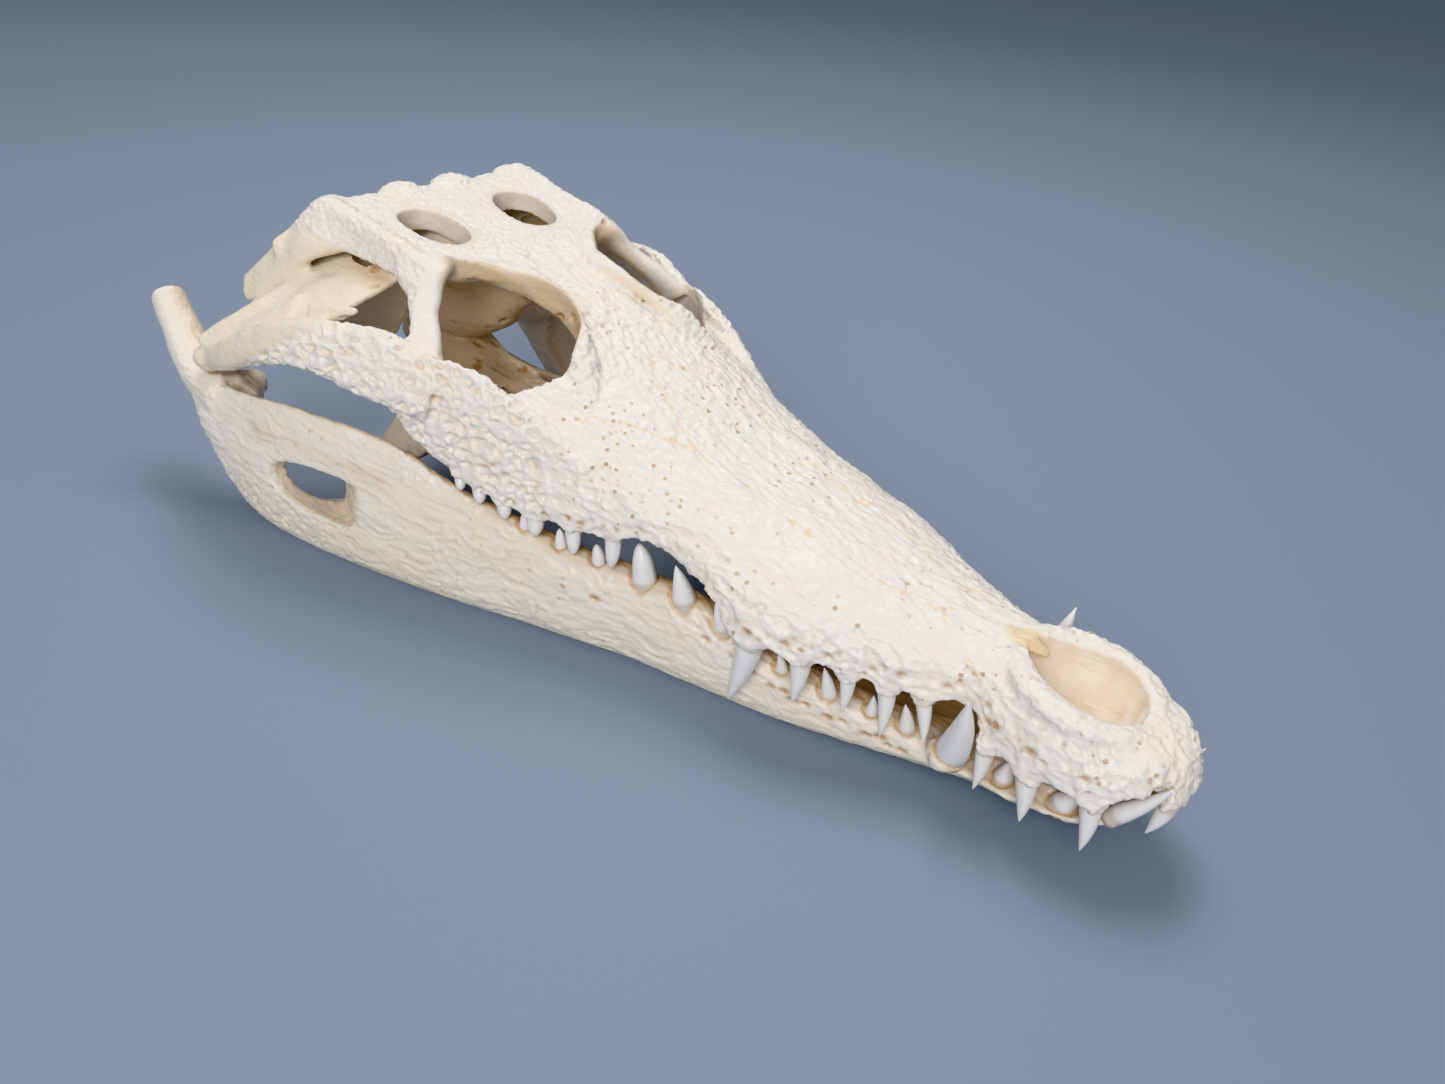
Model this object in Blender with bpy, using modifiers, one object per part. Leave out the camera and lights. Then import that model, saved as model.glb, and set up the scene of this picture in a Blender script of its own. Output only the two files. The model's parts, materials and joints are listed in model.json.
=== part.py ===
"""The skull of a young crocodile with its lower jaw, bones and teeth, at life size.

Sizes are in millimetres until point() turns them into metres. x runs to the skull's left, s runs
back from the tip of the snout and z runs up from the floor. A side is modelled once, as the left
one, and mirrored. The row frame has the snout toward -Y and the origin under the middle of the
length, on the floor.
"""

import math

import bmesh
import bpy
import numpy as np
from mathutils import Vector

MM = 0.001
JAW_REAR = 303.0
SNOUT_TIP = -0.4
MIDDLE = (JAW_REAR + SNOUT_TIP) / 2

VOXEL = 1.0
SMOOTH_SPREAD = 5.0
BONE_TRIANGLES = {"cranium": 5200, "jaw": 2300}
GAP = 0.3
JOINT_ROOM = 0.7
TOOTH_ROOT = 2.8
TOOTH_SIDES = 8
TOOTH_RINGS = 4

# Plan and profile of the upper jaw: s, half width at the tooth row, its height, height of the top
UPPER_JAW = (
    (0.0, 4.0, 19.0, 23.0),
    (2.5, 8.5, 18.6, 28.0),
    (10.0, 15.5, 17.6, 32.0),
    (22.0, 18.8, 16.8, 34.6),
    (33.0, 18.2, 16.2, 36.2),
    (39.5, 16.2, 16.6, 37.0),
    (44.0, 14.8, 20.4, 37.2),
    (49.0, 16.0, 21.0, 37.5),
    (54.0, 18.5, 21.2, 38.1),
    (66.0, 23.5, 21.6, 39.5),
    (80.0, 29.8, 23.0, 42.0),
    (92.0, 33.6, 22.8, 44.5),
    (97.0, 33.4, 23.4, 45.4),
    (103.0, 32.8, 28.6, 46.7),
    (114.0, 32.0, 32.4, 49.0),
    (125.0, 33.8, 35.2, 52.2),
    (133.0, 36.0, 33.6, 55.2),
    (141.0, 38.5, 32.6, 58.5),
    (154.0, 42.8, 32.6, 64.0),
    (167.0, 46.0, 34.4, 69.5),
    (178.0, 48.0, 36.0, 74.0),
)

# How far the margin of the upper jaw is arched up between its teeth: s, height
FESTOON = (
    (0.0, 0.5), (3.0, 3.0), (7.0, 5.5), (12.0, 4.0), (17.0, 2.6), (92.0, 2.8), (100.0, 1.2), (178.0, 1.0),
)

# Lower jaw, left ramus: s, x of its middle, half thickness, height of its lower and upper edge
RAMUS = (
    (7.0, 2.5, 3.3, 12.6, 15.8),
    (10.5, 4.4, 6.0, 10.4, 16.0),
    (20.0, 6.0, 8.0, 7.2, 14.0),
    (32.0, 6.4, 8.2, 5.0, 12.0),
    (40.0, 6.4, 7.4, 3.8, 11.2),
    (48.0, 7.4, 8.0, 2.6, 10.8),
    (60.0, 12.0, 5.8, 1.2, 12.2),
    (74.0, 16.8, 5.4, 0.4, 13.6),
    (88.0, 21.2, 5.2, -0.2, 15.8),
    (98.0, 23.4, 5.2, -0.5, 18.2),
    (108.0, 25.5, 5.3, -0.6, 22.6),
    (114.0, 26.9, 5.4, -0.6, 24.4),
    (128.0, 30.0, 5.5, -0.4, 25.4),
    (140.0, 33.8, 5.7, -0.4, 25.9),
    (150.0, 37.0, 5.8, -0.4, 26.8),
    (160.0, 40.2, 6.0, -0.5, 29.4),
    (168.0, 43.0, 6.2, -0.6, 31.2),
    (176.0, 45.6, 6.3, -0.7, 33.0),
    (184.0, 48.0, 6.6, -0.8, 35.6),
    (192.0, 50.4, 6.8, -0.8, 39.2),
    (204.0, 53.5, 7.0, -0.9, 41.0),
    (224.0, 58.0, 6.8, -0.9, 41.0),
    (242.0, 60.5, 6.4, -0.4, 38.6),
    (254.0, 61.0, 6.2, 3.0, 37.0),
    (262.0, 60.8, 6.2, 10.0, 36.4),
    (270.0, 60.0, 6.4, 19.0, 36.6),
    (276.0, 59.0, 5.6, 27.0, 37.0),
)

# How far the top of the chin falls toward its outer edge: s, height
CHIN_FALL = ((0.0, 0.0), (8.0, 0.0), (15.0, 4.8), (40.0, 4.8), (60.0, 0.0), (300.0, 0.0))

# Upper teeth of one side: s, x inset from the margin, height of the tip, radius, lean back to the tip
UPPER_TEETH = (
    (2.6, 3.0, 11.2, 1.9, 2.2),
    (14.3, 1.9, 6.6, 2.2, -0.6),
    (28.0, 2.0, 6.1, 2.3, -1.0),
    (38.6, 1.0, 6.4, 2.0, 0.4),
    (54.4, 2.0, 11.5, 1.8, -2.2),
    (62.1, 2.2, 9.6, 2.05, -0.6),
    (70.2, 2.2, 13.3, 1.8, 0.0),
    (80.5, 2.6, 12.1, 2.4, 0.4),
    (92.8, 3.4, 5.0, 3.2, 4.2),
    (133.5, 1.9, 26.3, 2.05, -0.3),
    (144.0, 1.9, 27.0, 2.0, -1.2),
    (153.7, 1.9, 28.5, 2.2, -0.4),
    (162.8, 1.9, 30.7, 1.9, -1.4),
    (170.2, 1.9, 32.3, 1.8, -1.2),
    (176.2, 1.9, 33.9, 1.5, -1.0),
)

# Lower teeth of one side: s, x out from the middle of the ramus, depth of the base under its top,
# height of the tip, radius, lean back and lean out to the tip
LOWER_TEETH = (
    (10.5, 5.1, 1.6, 26.4, 2.0, -8.1, -0.9),
    (21.4, 4.5, 3.2, 15.8, 2.5, -2.8, 0.6),
    (35.2, 4.3, 3.0, 14.0, 2.2, -0.5, 0.6),
    (45.6, 10.2, -2.6, 34.0, 3.5, -4.0, 7.5),
    (58.6, 2.6, 1.8, 17.4, 2.0, 0.8, 1.6),
    (66.8, 2.2, 1.8, 16.5, 1.6, -0.2, 0.8),
    (76.8, 2.0, 1.8, 19.8, 2.0, 1.6, 1.4),
    (88.4, 1.6, 1.8, 20.0, 1.5, 0.8, 1.4),
    (104.6, 1.2, 1.8, 26.2, 2.3, 2.0, 1.4),
    (115.4, 1.0, 1.8, 32.0, 2.9, 2.4, 1.4),
    (126.6, 0.6, 1.8, 33.4, 3.0, 2.0, 0.6),
    (138.8, 0.4, 1.8, 29.4, 1.8, 0.8, 0.4),
    (149.0, 0.4, 1.8, 30.6, 1.6, 0.4, 0.2),
    (158.8, 0.4, 1.8, 32.4, 1.5, 0.2, 0.0),
)
BLUNT_FROM = 125.0
SHARP_CROWN = ((0.0, 1.05), (0.35, 0.88), (0.7, 0.52), (1.0, 0.12))
BLUNT_CROWN = ((0.0, 1.0), (0.35, 1.08), (0.7, 0.86), (1.0, 0.24))

# The nostril, an egg with its narrow end to the rear: s, half width and half height of its hollow
NOSTRIL = (
    (12.9, 1.0, 1.5), (13.8, 4.4, 6.0), (16.0, 7.6, 9.6), (20.0, 10.2, 12.2), (25.0, 11.0, 12.9),
    (30.0, 10.0, 12.4), (35.0, 7.6, 10.8), (39.0, 4.8, 8.6), (41.4, 2.2, 5.0), (42.0, 0.8, 2.0),
)
NOSTRIL_HEIGHT = 38.5


def hermite(knots, values, at):
    """A smooth curve through values at knots, with no overshoot."""
    knots = np.asarray(knots, float)
    values = np.asarray(values, float)
    step = np.diff(knots)
    rise = np.diff(values) / step
    slope = np.zeros(len(knots))
    same = rise[1:] * rise[:-1] > 0
    slope[1:-1][same] = 2 * rise[1:][same] * rise[:-1][same] / (rise[1:] + rise[:-1])[same]
    slope[0] = rise[0]
    slope[-1] = rise[-1]
    i = np.clip(np.searchsorted(knots, at, side="right") - 1, 0, len(step) - 1)
    t = (at - knots[i]) / step[i]
    return (
        values[i] * (1 + 2 * t) * (1 - t) ** 2
        + slope[i] * step[i] * t * (1 - t) ** 2
        + values[i + 1] * t * t * (3 - 2 * t)
        - slope[i + 1] * step[i] * t * t * (1 - t)
    )


def column(table, number, at):
    """Column number of a station table, read as a smooth curve of its first column."""
    rows = np.array(table)
    return hermite(rows[:, 0], rows[:, number], np.asarray(at, float))


def point(x, s, z):
    """A place in the skull, in millimetres, as a vertex in metres."""
    return Vector((x * MM, (s - MIDDLE) * MM, z * MM))


def mesh_of(name, rings):
    """A closed mesh through rings of points, each ring a list of (x, s, z)."""
    shape = bmesh.new()
    rows = [[shape.verts.new(point(*p)) for p in ring] for ring in rings]
    count = len(rows[0])
    for near, far in zip(rows, rows[1:]):
        for i in range(count):
            j = (i + 1) % count
            shape.faces.new((near[i], near[j], far[j], far[i]))
    shape.faces.new(rows[0][::-1])
    shape.faces.new(rows[-1])
    bmesh.ops.recalc_face_normals(shape, faces=shape.faces)
    mesh = bpy.data.meshes.new(name)
    shape.to_mesh(mesh)
    shape.free()
    return mesh


def around(count, power):
    """Unit points round a superellipse, from +a toward +b."""
    angles = [2 * math.pi * i / count for i in range(count)]
    shaped = lambda v: math.copysign(abs(v) ** (2 / power), v)
    return [(shaped(math.cos(a)), shaped(math.sin(a))) for a in angles]


def sweep(name, stations, up, power=2.2, sides=28, rings=36):
    """A bar along stations (x, s, z, half width, half height), its height toward up."""
    rows = np.array(stations, float)
    lengths = np.linalg.norm(np.diff(rows[:, :3], axis=0), axis=1)
    along = np.concatenate([[0], np.cumsum(lengths)])
    at = np.linspace(0, along[-1], rings)
    path = np.stack([hermite(along, rows[:, k], at) for k in range(5)], axis=1)
    tangents = np.gradient(path[:, :3], axis=0)
    made = []
    for (x, s, z, a, b), tangent in zip(path, tangents):
        ahead = Vector(tangent).normalized()
        across = ahead.cross(Vector(up)).normalized()
        height = across.cross(ahead)
        made.append([
            (x, s, z) + np.array(across * (a * u) + height * (b * v))
            for u, v in around(sides, power)
        ])
    return mesh_of(name, made)


def slab(name, corners, thickness, bulge=0.0, thin=1.0, steps=14):
    """A plate over four corners in order, arched by bulge along its normal, its first edge thinned."""
    p = [Vector(c) for c in corners]
    normal = (p[2] - p[0]).cross(p[3] - p[1]).normalized()
    rings = []
    for i in range(steps + 1):
        u = i / steps
        row = []
        for j in range(steps + 1):
            v = j / steps
            at = (p[0] * (1 - u) + p[3] * u) * (1 - v) + (p[1] * (1 - u) + p[2] * u) * v
            crown = 16 * u * (1 - u) * v * (1 - v)
            depth = thickness / 2 * (thin + (1 - thin) * min(1.0, 2.5 * v))
            row.append((at + normal * (bulge * crown), depth))
        top = [at + normal * depth for at, depth in row]
        under = [at - normal * depth for at, depth in reversed(row)]
        rings.append([tuple(q) for q in top + under])
    return mesh_of(name, rings)


def ball(name, centre, radii, turn=0.0):
    """An ellipsoid with radii along x, s and z, turned about z by turn degrees."""
    shape = bmesh.new()
    bmesh.ops.create_uvsphere(shape, u_segments=32, v_segments=20, radius=1.0)
    c, w = math.cos(math.radians(turn)), math.sin(math.radians(turn))
    for vert in shape.verts:
        x, s, z = (vert.co[k] * radii[k] for k in range(3))
        vert.co = point(centre[0] + c * x - w * s, centre[1] + w * x + c * s, centre[2] + z)
    mesh = bpy.data.meshes.new(name)
    shape.to_mesh(mesh)
    shape.free()
    return mesh


def well(name, outline, low, high, lean=(0.0, 0.0)):
    """An upright cutter on an outline of (x, s), from low to high, its top shifted by lean."""
    rings = []
    for share in (0.0, 0.5, 1.0):
        z = low + (high - low) * share
        rings.append([(x + lean[0] * share, s + lean[1] * share, z) for x, s in outline])
    return mesh_of(name, rings)


def egg(centre, half_x, half_s, narrow=0.0, turn=0.0, power=2.3, count=40):
    """An egg outline in plan, narrowed toward the snout by narrow, turned by turn degrees."""
    c, w = math.cos(math.radians(turn)), math.sin(math.radians(turn))
    made = []
    for u, v in around(count, power):
        x = u * half_x * (1 + narrow * v)
        s = v * half_s
        made.append((centre[0] + c * x - w * s, centre[1] + w * x + c * s))
    return made


def both(meshes):
    """The meshes, and their mirror images across the midline."""
    made = list(meshes)
    for mesh in meshes:
        other = mesh.copy()
        for vert in other.vertices:
            vert.co.x = -vert.co.x
        other.flip_normals()
        made.append(other)
    return made


def joined(name, meshes):
    """One mesh that holds all the bodies."""
    shape = bmesh.new()
    for mesh in meshes:
        shape.from_mesh(mesh)
    made = bpy.data.meshes.new(name)
    shape.to_mesh(made)
    shape.free()
    for mesh in meshes:
        bpy.data.meshes.remove(mesh)
    return made


def applied(obj):
    """The object's mesh with its modifiers in it, which are then removed."""
    bpy.context.view_layer.update()
    graph = bpy.context.evaluated_depsgraph_get()
    made = bpy.data.meshes.new_from_object(obj.evaluated_get(graph))
    obj.modifiers.clear()
    old = obj.data
    obj.data = made
    bpy.data.meshes.remove(old)
    return obj


def linked(name, mesh):
    obj = bpy.data.objects.new(name, mesh)
    bpy.context.scene.collection.objects.link(obj)
    return obj


def fused(obj, voxel):
    """The object's overlapping bodies grown into one skin."""
    remesh = obj.modifiers.new("fuse", "REMESH")
    remesh.mode = "VOXEL"
    remesh.voxel_size = voxel * MM
    remesh.adaptivity = 0.0
    return applied(obj)


def softened(obj, spread, voxel):
    """The object with its creases eased, by the same amount at any voxel size."""
    smooth = obj.modifiers.new("soften", "SMOOTH")
    smooth.factor = 0.5
    smooth.iterations = max(1, round(spread / voxel**2))
    return applied(obj)


def boolean(obj, meshes, operation):
    """The object with the meshes joined to it or cut from it, in one step."""
    tools = bpy.data.collections.new("tools")
    bpy.context.scene.collection.children.link(tools)
    for mesh in meshes:
        tools.objects.link(bpy.data.objects.new(mesh.name, mesh))
    step = obj.modifiers.new("boolean", "BOOLEAN")
    step.operation = operation
    step.operand_type = "COLLECTION"
    step.collection = tools
    step.solver = "MANIFOLD"
    applied(obj)
    for tool in list(tools.objects):
        bpy.data.objects.remove(tool)
    bpy.data.collections.remove(tools)
    return obj


def arch(s):
    """From 0 at a tooth of the upper jaw to 1 midway between two, where its margin is arched up."""
    return 1 - max(math.exp(-((s - tooth[0]) / (1.35 * tooth[3])) ** 2) for tooth in UPPER_TEETH)


def snout():
    """The upper jaw from its tip to the fronts of the eye openings, solid, with a vaulted palate."""
    half = 15
    rings = []
    for s in np.concatenate([[0.0, 0.6, 1.5], np.arange(3.0, 178.1, 1.25)]):
        width, edge, top = (float(column(UPPER_JAW, k, s)) for k in (1, 2, 3))
        scallop = float(column(FESTOON, 1, s))
        edge += scallop * arch(s)
        width += 0.6 * min(1.0, s / 5) * (1 - arch(s))
        belly = min(1.0, max(0.0, (s - 3) / 20))
        vault = edge + 3.0 * belly
        power = 3.1 - 0.6 * min(1.0, max(0.0, (s - 40) / 15)) - 0.2 * min(1.0, max(0.0, (s - 135) / 20))
        ring = []
        for i in range(2 * half + 1):
            angle = math.pi * (i / (2 * half) - 0.5)
            u = math.copysign(abs(math.sin(angle)) ** (2 / power), math.sin(angle))
            v = abs(math.cos(angle)) ** (2 / power)
            ring.append((width * u, s, edge + (top - edge) * v))
        for i in range(1, 2 * half):
            u = 1 - i / half
            rim = min(1.0, (1 - abs(u)) * 5)
            ring.append((width * u, s, edge + (vault - edge) * rim))
        rings.append(ring)
    return mesh_of("snout", rings)


def frontal():
    """The roof between the eye openings, hollowed along its middle, with the raised rims."""
    bridge = sweep("bridge", [
        (0, 150, 56.0, 14, 3.4), (0, 162, 63.6, 18, 3.4), (0, 174, 68.8, 14.5, 3.2),
        (0, 186, 73.4, 13.5, 3.0), (0, 196, 75.6, 17, 3.0), (0, 208, 78.4, 28, 3.2),
    ], up=(0, 0, 1), power=3.0)
    rim = sweep("rim", [
        (27, 144, 47.0, 3.0, 3.0), (24, 152, 55.4, 3.6, 3.2), (20.5, 159, 62.6, 3.8, 3.4),
        (16.4, 167, 70.6, 3.4, 3.0),
        (13.2, 176, 75.4, 3.0, 2.7), (11.8, 185, 76.8, 2.9, 2.6), (13.2, 194, 77.4, 3.0, 2.6),
        (21.5, 201, 78.6, 3.6, 2.8), (31, 206, 79.4, 4.2, 3.2),
    ], up=(0, 0, 1))
    return [bridge], [rim]


def cheek():
    """The jugal: its plate below the eye, the arch to the jaw joint, and the post behind the eye."""
    blade = sweep("blade", [
        (31.5, 140, 43.5, 3.2, 5.0), (35.0, 150, 45.5, 3.6, 7.8), (38.8, 159, 47.4, 3.6, 10.6),
        (41.4, 166, 49.2, 3.6, 12.4), (43.2, 174, 50.9, 3.6, 13.8), (44.6, 181, 52.6, 3.5, 14.0),
        (45.6, 187, 54.2, 3.3, 13.4), (46.6, 193, 56.2, 3.0, 11.4), (47.8, 199, 59.2, 2.6, 8.2),
        (49.0, 205, 60.6, 2.0, 5.6),
    ], up=(-0.13, 0, 1), power=2.6)
    bow = sweep("arch", [
        (47.0, 183, 57.0, 3.0, 8.0), (49.4, 192, 59.4, 3.1, 8.6),
        (52.8, 201, 60.8, 3.0, 9.0), (56.2, 214, 61.0, 3.0, 7.4), (58.6, 227, 59.0, 3.2, 6.2),
        (60.4, 241, 54.2, 3.4, 5.6), (61.2, 254, 47.8, 3.4, 4.8), (60.8, 264, 43.2, 3.4, 3.8),
    ], up=(-0.4, 0, 0.92), power=2.6)
    bar = sweep("bar", [
        (29.5, 209, 79.0, 4.8, 8.0), (32.2, 205.8, 76.8, 3.4, 7.2), (34.8, 202.4, 73.4, 2.8, 4.8),
        (38.0, 198.8, 70.0, 2.7, 4.0), (42.0, 194, 65.5, 2.9, 4.8), (45.5, 191, 60.0, 3.2, 8.0),
    ], up=(-0.2, 1, 0.3), power=2.2)
    return [blade, bow], [bar]


TABLE = (
    (202.5, 25.0, 80.0), (206.0, 32.6, 81.2), (214.0, 33.6, 82.6), (226.0, 33.8, 84.8),
    (237.0, 35.2, 86.2), (248.0, 36.4, 87.2),
)


def skull_table():
    """The flat roof behind the eyes, dished along its middle, with a lobed rear edge."""
    rings = []
    for s in np.linspace(TABLE[0][0], TABLE[-1][0], 26):
        width, top = float(column(TABLE, 1, s)), float(column(TABLE, 2, s))
        ring = []
        for u, v in around(48, 5.0):
            dish = 1.2 * (1 - u * u)
            ring.append((width * u, s, top - dish - 3.0 + 3.0 * v))
        rings.append(ring)
    plate = mesh_of("table", rings)
    lip = sweep("lip", [
        (30.6, 204, 78.2, 3.6, 3.4), (31.8, 212, 79.8, 3.0, 3.4), (31.6, 225, 82.0, 2.8, 3.2),
        (32.6, 237, 83.6, 3.2, 3.6), (32.6, 247, 84.4, 4.4, 3.8),
    ], up=(0, 0, 1))
    flange = slab("flange", [
        (32.8, 210, 79.0), (33.6, 248, 83.0), (35.6, 249, 76.4), (34.4, 211, 75.4),
    ], 2.6)
    lobe = ball("lobe", (31.0, 246.0, 83.8), (6.6, 6.8, 3.6))
    knob = ball("knob", (9.0, 247.0, 84.6), (7.0, 5.6, 3.2))
    return [plate], [lip, flange, lobe, knob]


def braincase():
    """The box under the table, the plate round the spinal opening, and the condyle."""
    box = sweep("box", [
        (0, 203, 69.5, 3.5, 5.0), (0, 209, 68.0, 6.0, 8.0), (0, 217, 66.0, 8.5, 13.5),
        (0, 234, 64.0, 12.0, 18.5), (0, 245, 63.5, 14.0, 18.5),
    ], up=(0, 0, 1), power=2.6)
    wall = sweep("wall", [
        (-1, 243.5, 71.0, 3.8, 14.0), (12, 245.0, 71.0, 3.6, 13.0), (24, 248.5, 71.5, 3.2, 10.5),
        (35, 252.5, 71.0, 2.8, 8.5), (43, 256.5, 69.0, 2.2, 6.0),
    ], up=(0, 0, 1), power=2.6)
    base = sweep("base", [
        (0, 236, 52.0, 11, 7), (0, 245, 46.0, 12, 6.0), (0, 248, 39.0, 8.5, 3.2),
    ], up=(0, 1, 0.4))
    condyle = ball("condyle", (0, 251.5, 55.0), (5.2, 5.0, 4.4))
    return [box, base, condyle], [wall]


def joint(grow=0.0):
    """The lower end of the quadrate, which the lower jaw turns on."""
    stem = sweep("stem", [
        (37, 245, 67.0, 5.0 + grow, 3.6 + grow), (46, 254, 57.0, 6.4 + grow, 3.8 + grow),
        (53, 262.5, 48.6, 7.2 + grow, 4.0 + grow), (56.6, 268, 43.0, 8.2 + grow, 3.8 + grow),
    ], up=(-0.5, 0.2, 0.8))
    outer = ball("outer", (60.6, 267.6, 41.8), (5.0 + grow, 4.8 + grow, 4.2 + grow), turn=20)
    medial = ball("medial", (51.5, 270.4, 40.7), (4.8 + grow, 4.8 + grow, 4.2 + grow), turn=20)
    return [stem, outer, medial]


def quadrate():
    """The plates from under the table out to the jaw joint, and the prong behind them."""
    plate = slab("plate", [
        (27, 214, 76.0), (27, 247, 76.5), (59, 271, 43.5), (53, 220, 65.5),
    ], 4.8, bulge=-0.5, thin=0.4)
    side = slab("side", [
        (45.5, 239, 65.0), (57.5, 270, 45.0), (61.6, 264, 41.8), (59.4, 229, 56.5),
    ], 5.0, bulge=-1.2)
    back = slab("back", [(12, 228, 74), (17.5, 241, 47.0), (47, 262, 42.5), (32, 242, 74)], 3.4)
    spine = sweep("spine", [
        (51.5, 228, 65.0, 1.8, 3.0), (49.5, 220, 67.2, 1.4, 2.4), (46.8, 213.5, 69.2, 0.7, 0.8),
    ], up=(0, 0, 1), rings=10)
    prong = sweep("prong", [
        (32, 236, 82.0, 3.0, 6.0), (37.2, 245.5, 79.2, 2.8, 7.4), (40.6, 253.5, 71.8, 2.6, 6.6),
        (44, 262.5, 63.2, 2.5, 5.4), (45.8, 268.8, 58.2, 2.3, 4.2),
    ], up=(0.5, -0.25, -0.83), power=3.0)
    return [plate, side, back, spine, prong] + joint()


def palate():
    """The pterygoid wings, the struts to the cheeks, and the bar along the middle."""
    bar = sweep("palatine", [
        (0, 138, 41.5, 10.0, 3.5), (0, 152, 40.0, 8.0, 4.0), (0, 170, 37.6, 5.6, 3.0),
        (0, 190, 37.4, 5.4, 2.8), (0, 212, 38.4, 6.4, 2.8), (0, 228, 42.0, 8.4, 4.0),
        (0, 244, 45.5, 9.5, 6.0),
    ], up=(0, 0, 1), power=2.8)
    wing = slab("wing", [(4, 205, 40.5), (5, 234, 42.0), (36, 228, 20.5), (35, 208, 26.0)], 3.0, bulge=1.5)
    strut = sweep("strut", [
        (41.0, 166, 42.0, 3.6, 4.0), (36.6, 180, 41.5, 2.6, 3.8), (35.2, 196, 37.5, 2.4, 4.2),
        (34.5, 212, 29.0, 2.2, 6.0),
    ], up=(-0.4, 0, 0.9))
    return [bar], [wing, strut]


ORBIT = ((27.6, 183.4), 14.8, 21.3)
TEMPLE = ((15.2, 223.0), 7.2, 10.8)

# Space behind and below the eyes: s, half width, its floor and its roof
CAVITY = (
    (151.0, 16.0, 50.0, 57.0),
    (156.0, 24.0, 44.0, 60.0),
    (162.0, 31.0, 30.0, 62.5),
    (170.0, 37.0, 20.0, 65.8),
    (180.0, 40.5, 20.0, 69.8),
    (192.0, 44.0, 20.0, 73.0),
    (212.0, 46.0, 20.0, 74.0),
)


def hollows():
    """The eye openings, the space behind and below them, and the windows in the palate."""
    orbit = well("orbit", egg(*ORBIT, narrow=0.1, turn=-27), 40, 96, lean=(1.0, 0.0))
    rings = []
    for s in np.linspace(CAVITY[0][0], CAVITY[-1][0], 25):
        width, low, high = (float(column(CAVITY, k, s)) for k in (1, 2, 3))
        rings.append([
            (width * u, s, (low + high) / 2 + (high - low) / 2 * v) for u, v in around(40, 3.0)
        ])
    slot = well("slot", egg((21.0, 162), 9.5, 25.0, narrow=0.2, turn=-6), 20, 50)
    return both([orbit, slot]) + [mesh_of("cavity", rings)]


def openings():
    """The holes with crisp rims, cut last: nostril, temporal windows and spinal opening."""
    nostril = sweep("nostril", [
        (0, s, NOSTRIL_HEIGHT, wide, high) for s, wide, high in NOSTRIL
    ], up=(0, 0, 1), power=2.0)
    cleft = ball("cleft", (0, -1.4, 24.0), (1.3, 3.2, 7.0))
    window = well("window", egg(*TEMPLE, turn=-6), 64, 96, lean=(1.0, 0.0))
    funnel = ball("funnel", (TEMPLE[0][0] + 1.0, TEMPLE[0][1], 89.0), (9.2, 13.2, 8.0))
    ear = ball("ear", (29.4, 230.0, 73.6), (5.0, 10.0, 3.2))
    spinal = ball("spinal", (0, 249, 66.4), (5.8, 12.0, 4.9))
    return [nostril, cleft, spinal] + both([window, funnel, ear])


def collars():
    """The swellings of the upper jaw round the roots of its teeth."""
    return [
        ball("collar", (base[0] - 0.3, base[1], base[2] + 1.6), (radius + 1.1, radius + 1.2, 2.8))
        for base, tip, radius in upper_spots()[1:]
    ]


def nostril_rim():
    """The left half of the raised rim round the nostril."""
    return sweep("nostril_rim", [
        (-1, 11.6, 31.2, 1.8, 1.4), (7.4, 14.2, 31.9, 2.6, 1.8), (12.0, 20.4, 32.8, 3.6, 2.3),
        (13.2, 28.0, 33.9, 3.9, 2.5), (11.0, 35.5, 34.9, 3.4, 2.3), (6.4, 40.6, 36.0, 2.8, 1.9),
        (-1, 43.2, 36.6, 2.0, 1.2),
    ], up=(0, 0, 1), power=2.0)


def nasal_spine():
    """The thin tip of the nasal bones, which reaches into the nostril from the rear."""
    return sweep("nasal_spine", [
        (0, 47.0, 36.6, 3.0, 1.2), (0, 42.0, 36.6, 2.8, 1.1), (0, 39.0, 36.2, 2.0, 0.9),
        (0, 36.6, 35.6, 0.8, 0.7),
    ], up=(0, 0, 1))


def cranium(voxel):
    """The whole upper skull, without teeth."""
    middle, sides = frontal()
    ridge = sweep("ridge", [
        (16.0, 92, 36.5, 6.0, 3.0), (15.0, 104, 41.2, 6.5, 4.0), (13.5, 114, 44.8, 6.5, 4.4),
        (13.0, 126, 47.8, 6.5, 4.0), (13.0, 144, 54.0, 6.0, 3.0),
    ], up=(0, 0, 1))
    plates, posts = cheek()
    outer = [snout()] + middle + both(sides + plates + [ridge, nostril_rim()] + collars())
    obj = fused(linked("cranium", joined("cranium", outer)), voxel)
    boolean(obj, hollows(), "DIFFERENCE")
    inner = []
    for middle, sides in (skull_table(), braincase(), ([], quadrate()), palate(), ([], posts)):
        inner += middle + both(sides)
    obj = fused(linked("cranium", joined("cranium", [obj.data] + inner)), voxel)
    softened(obj, SMOOTH_SPREAD, voxel)
    boolean(obj, openings() + both([pit(), notch_gap()]), "DIFFERENCE")
    boolean(obj, [nasal_spine()], "UNION")
    return softened(fused(obj, voxel), 1.0, voxel)


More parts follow.
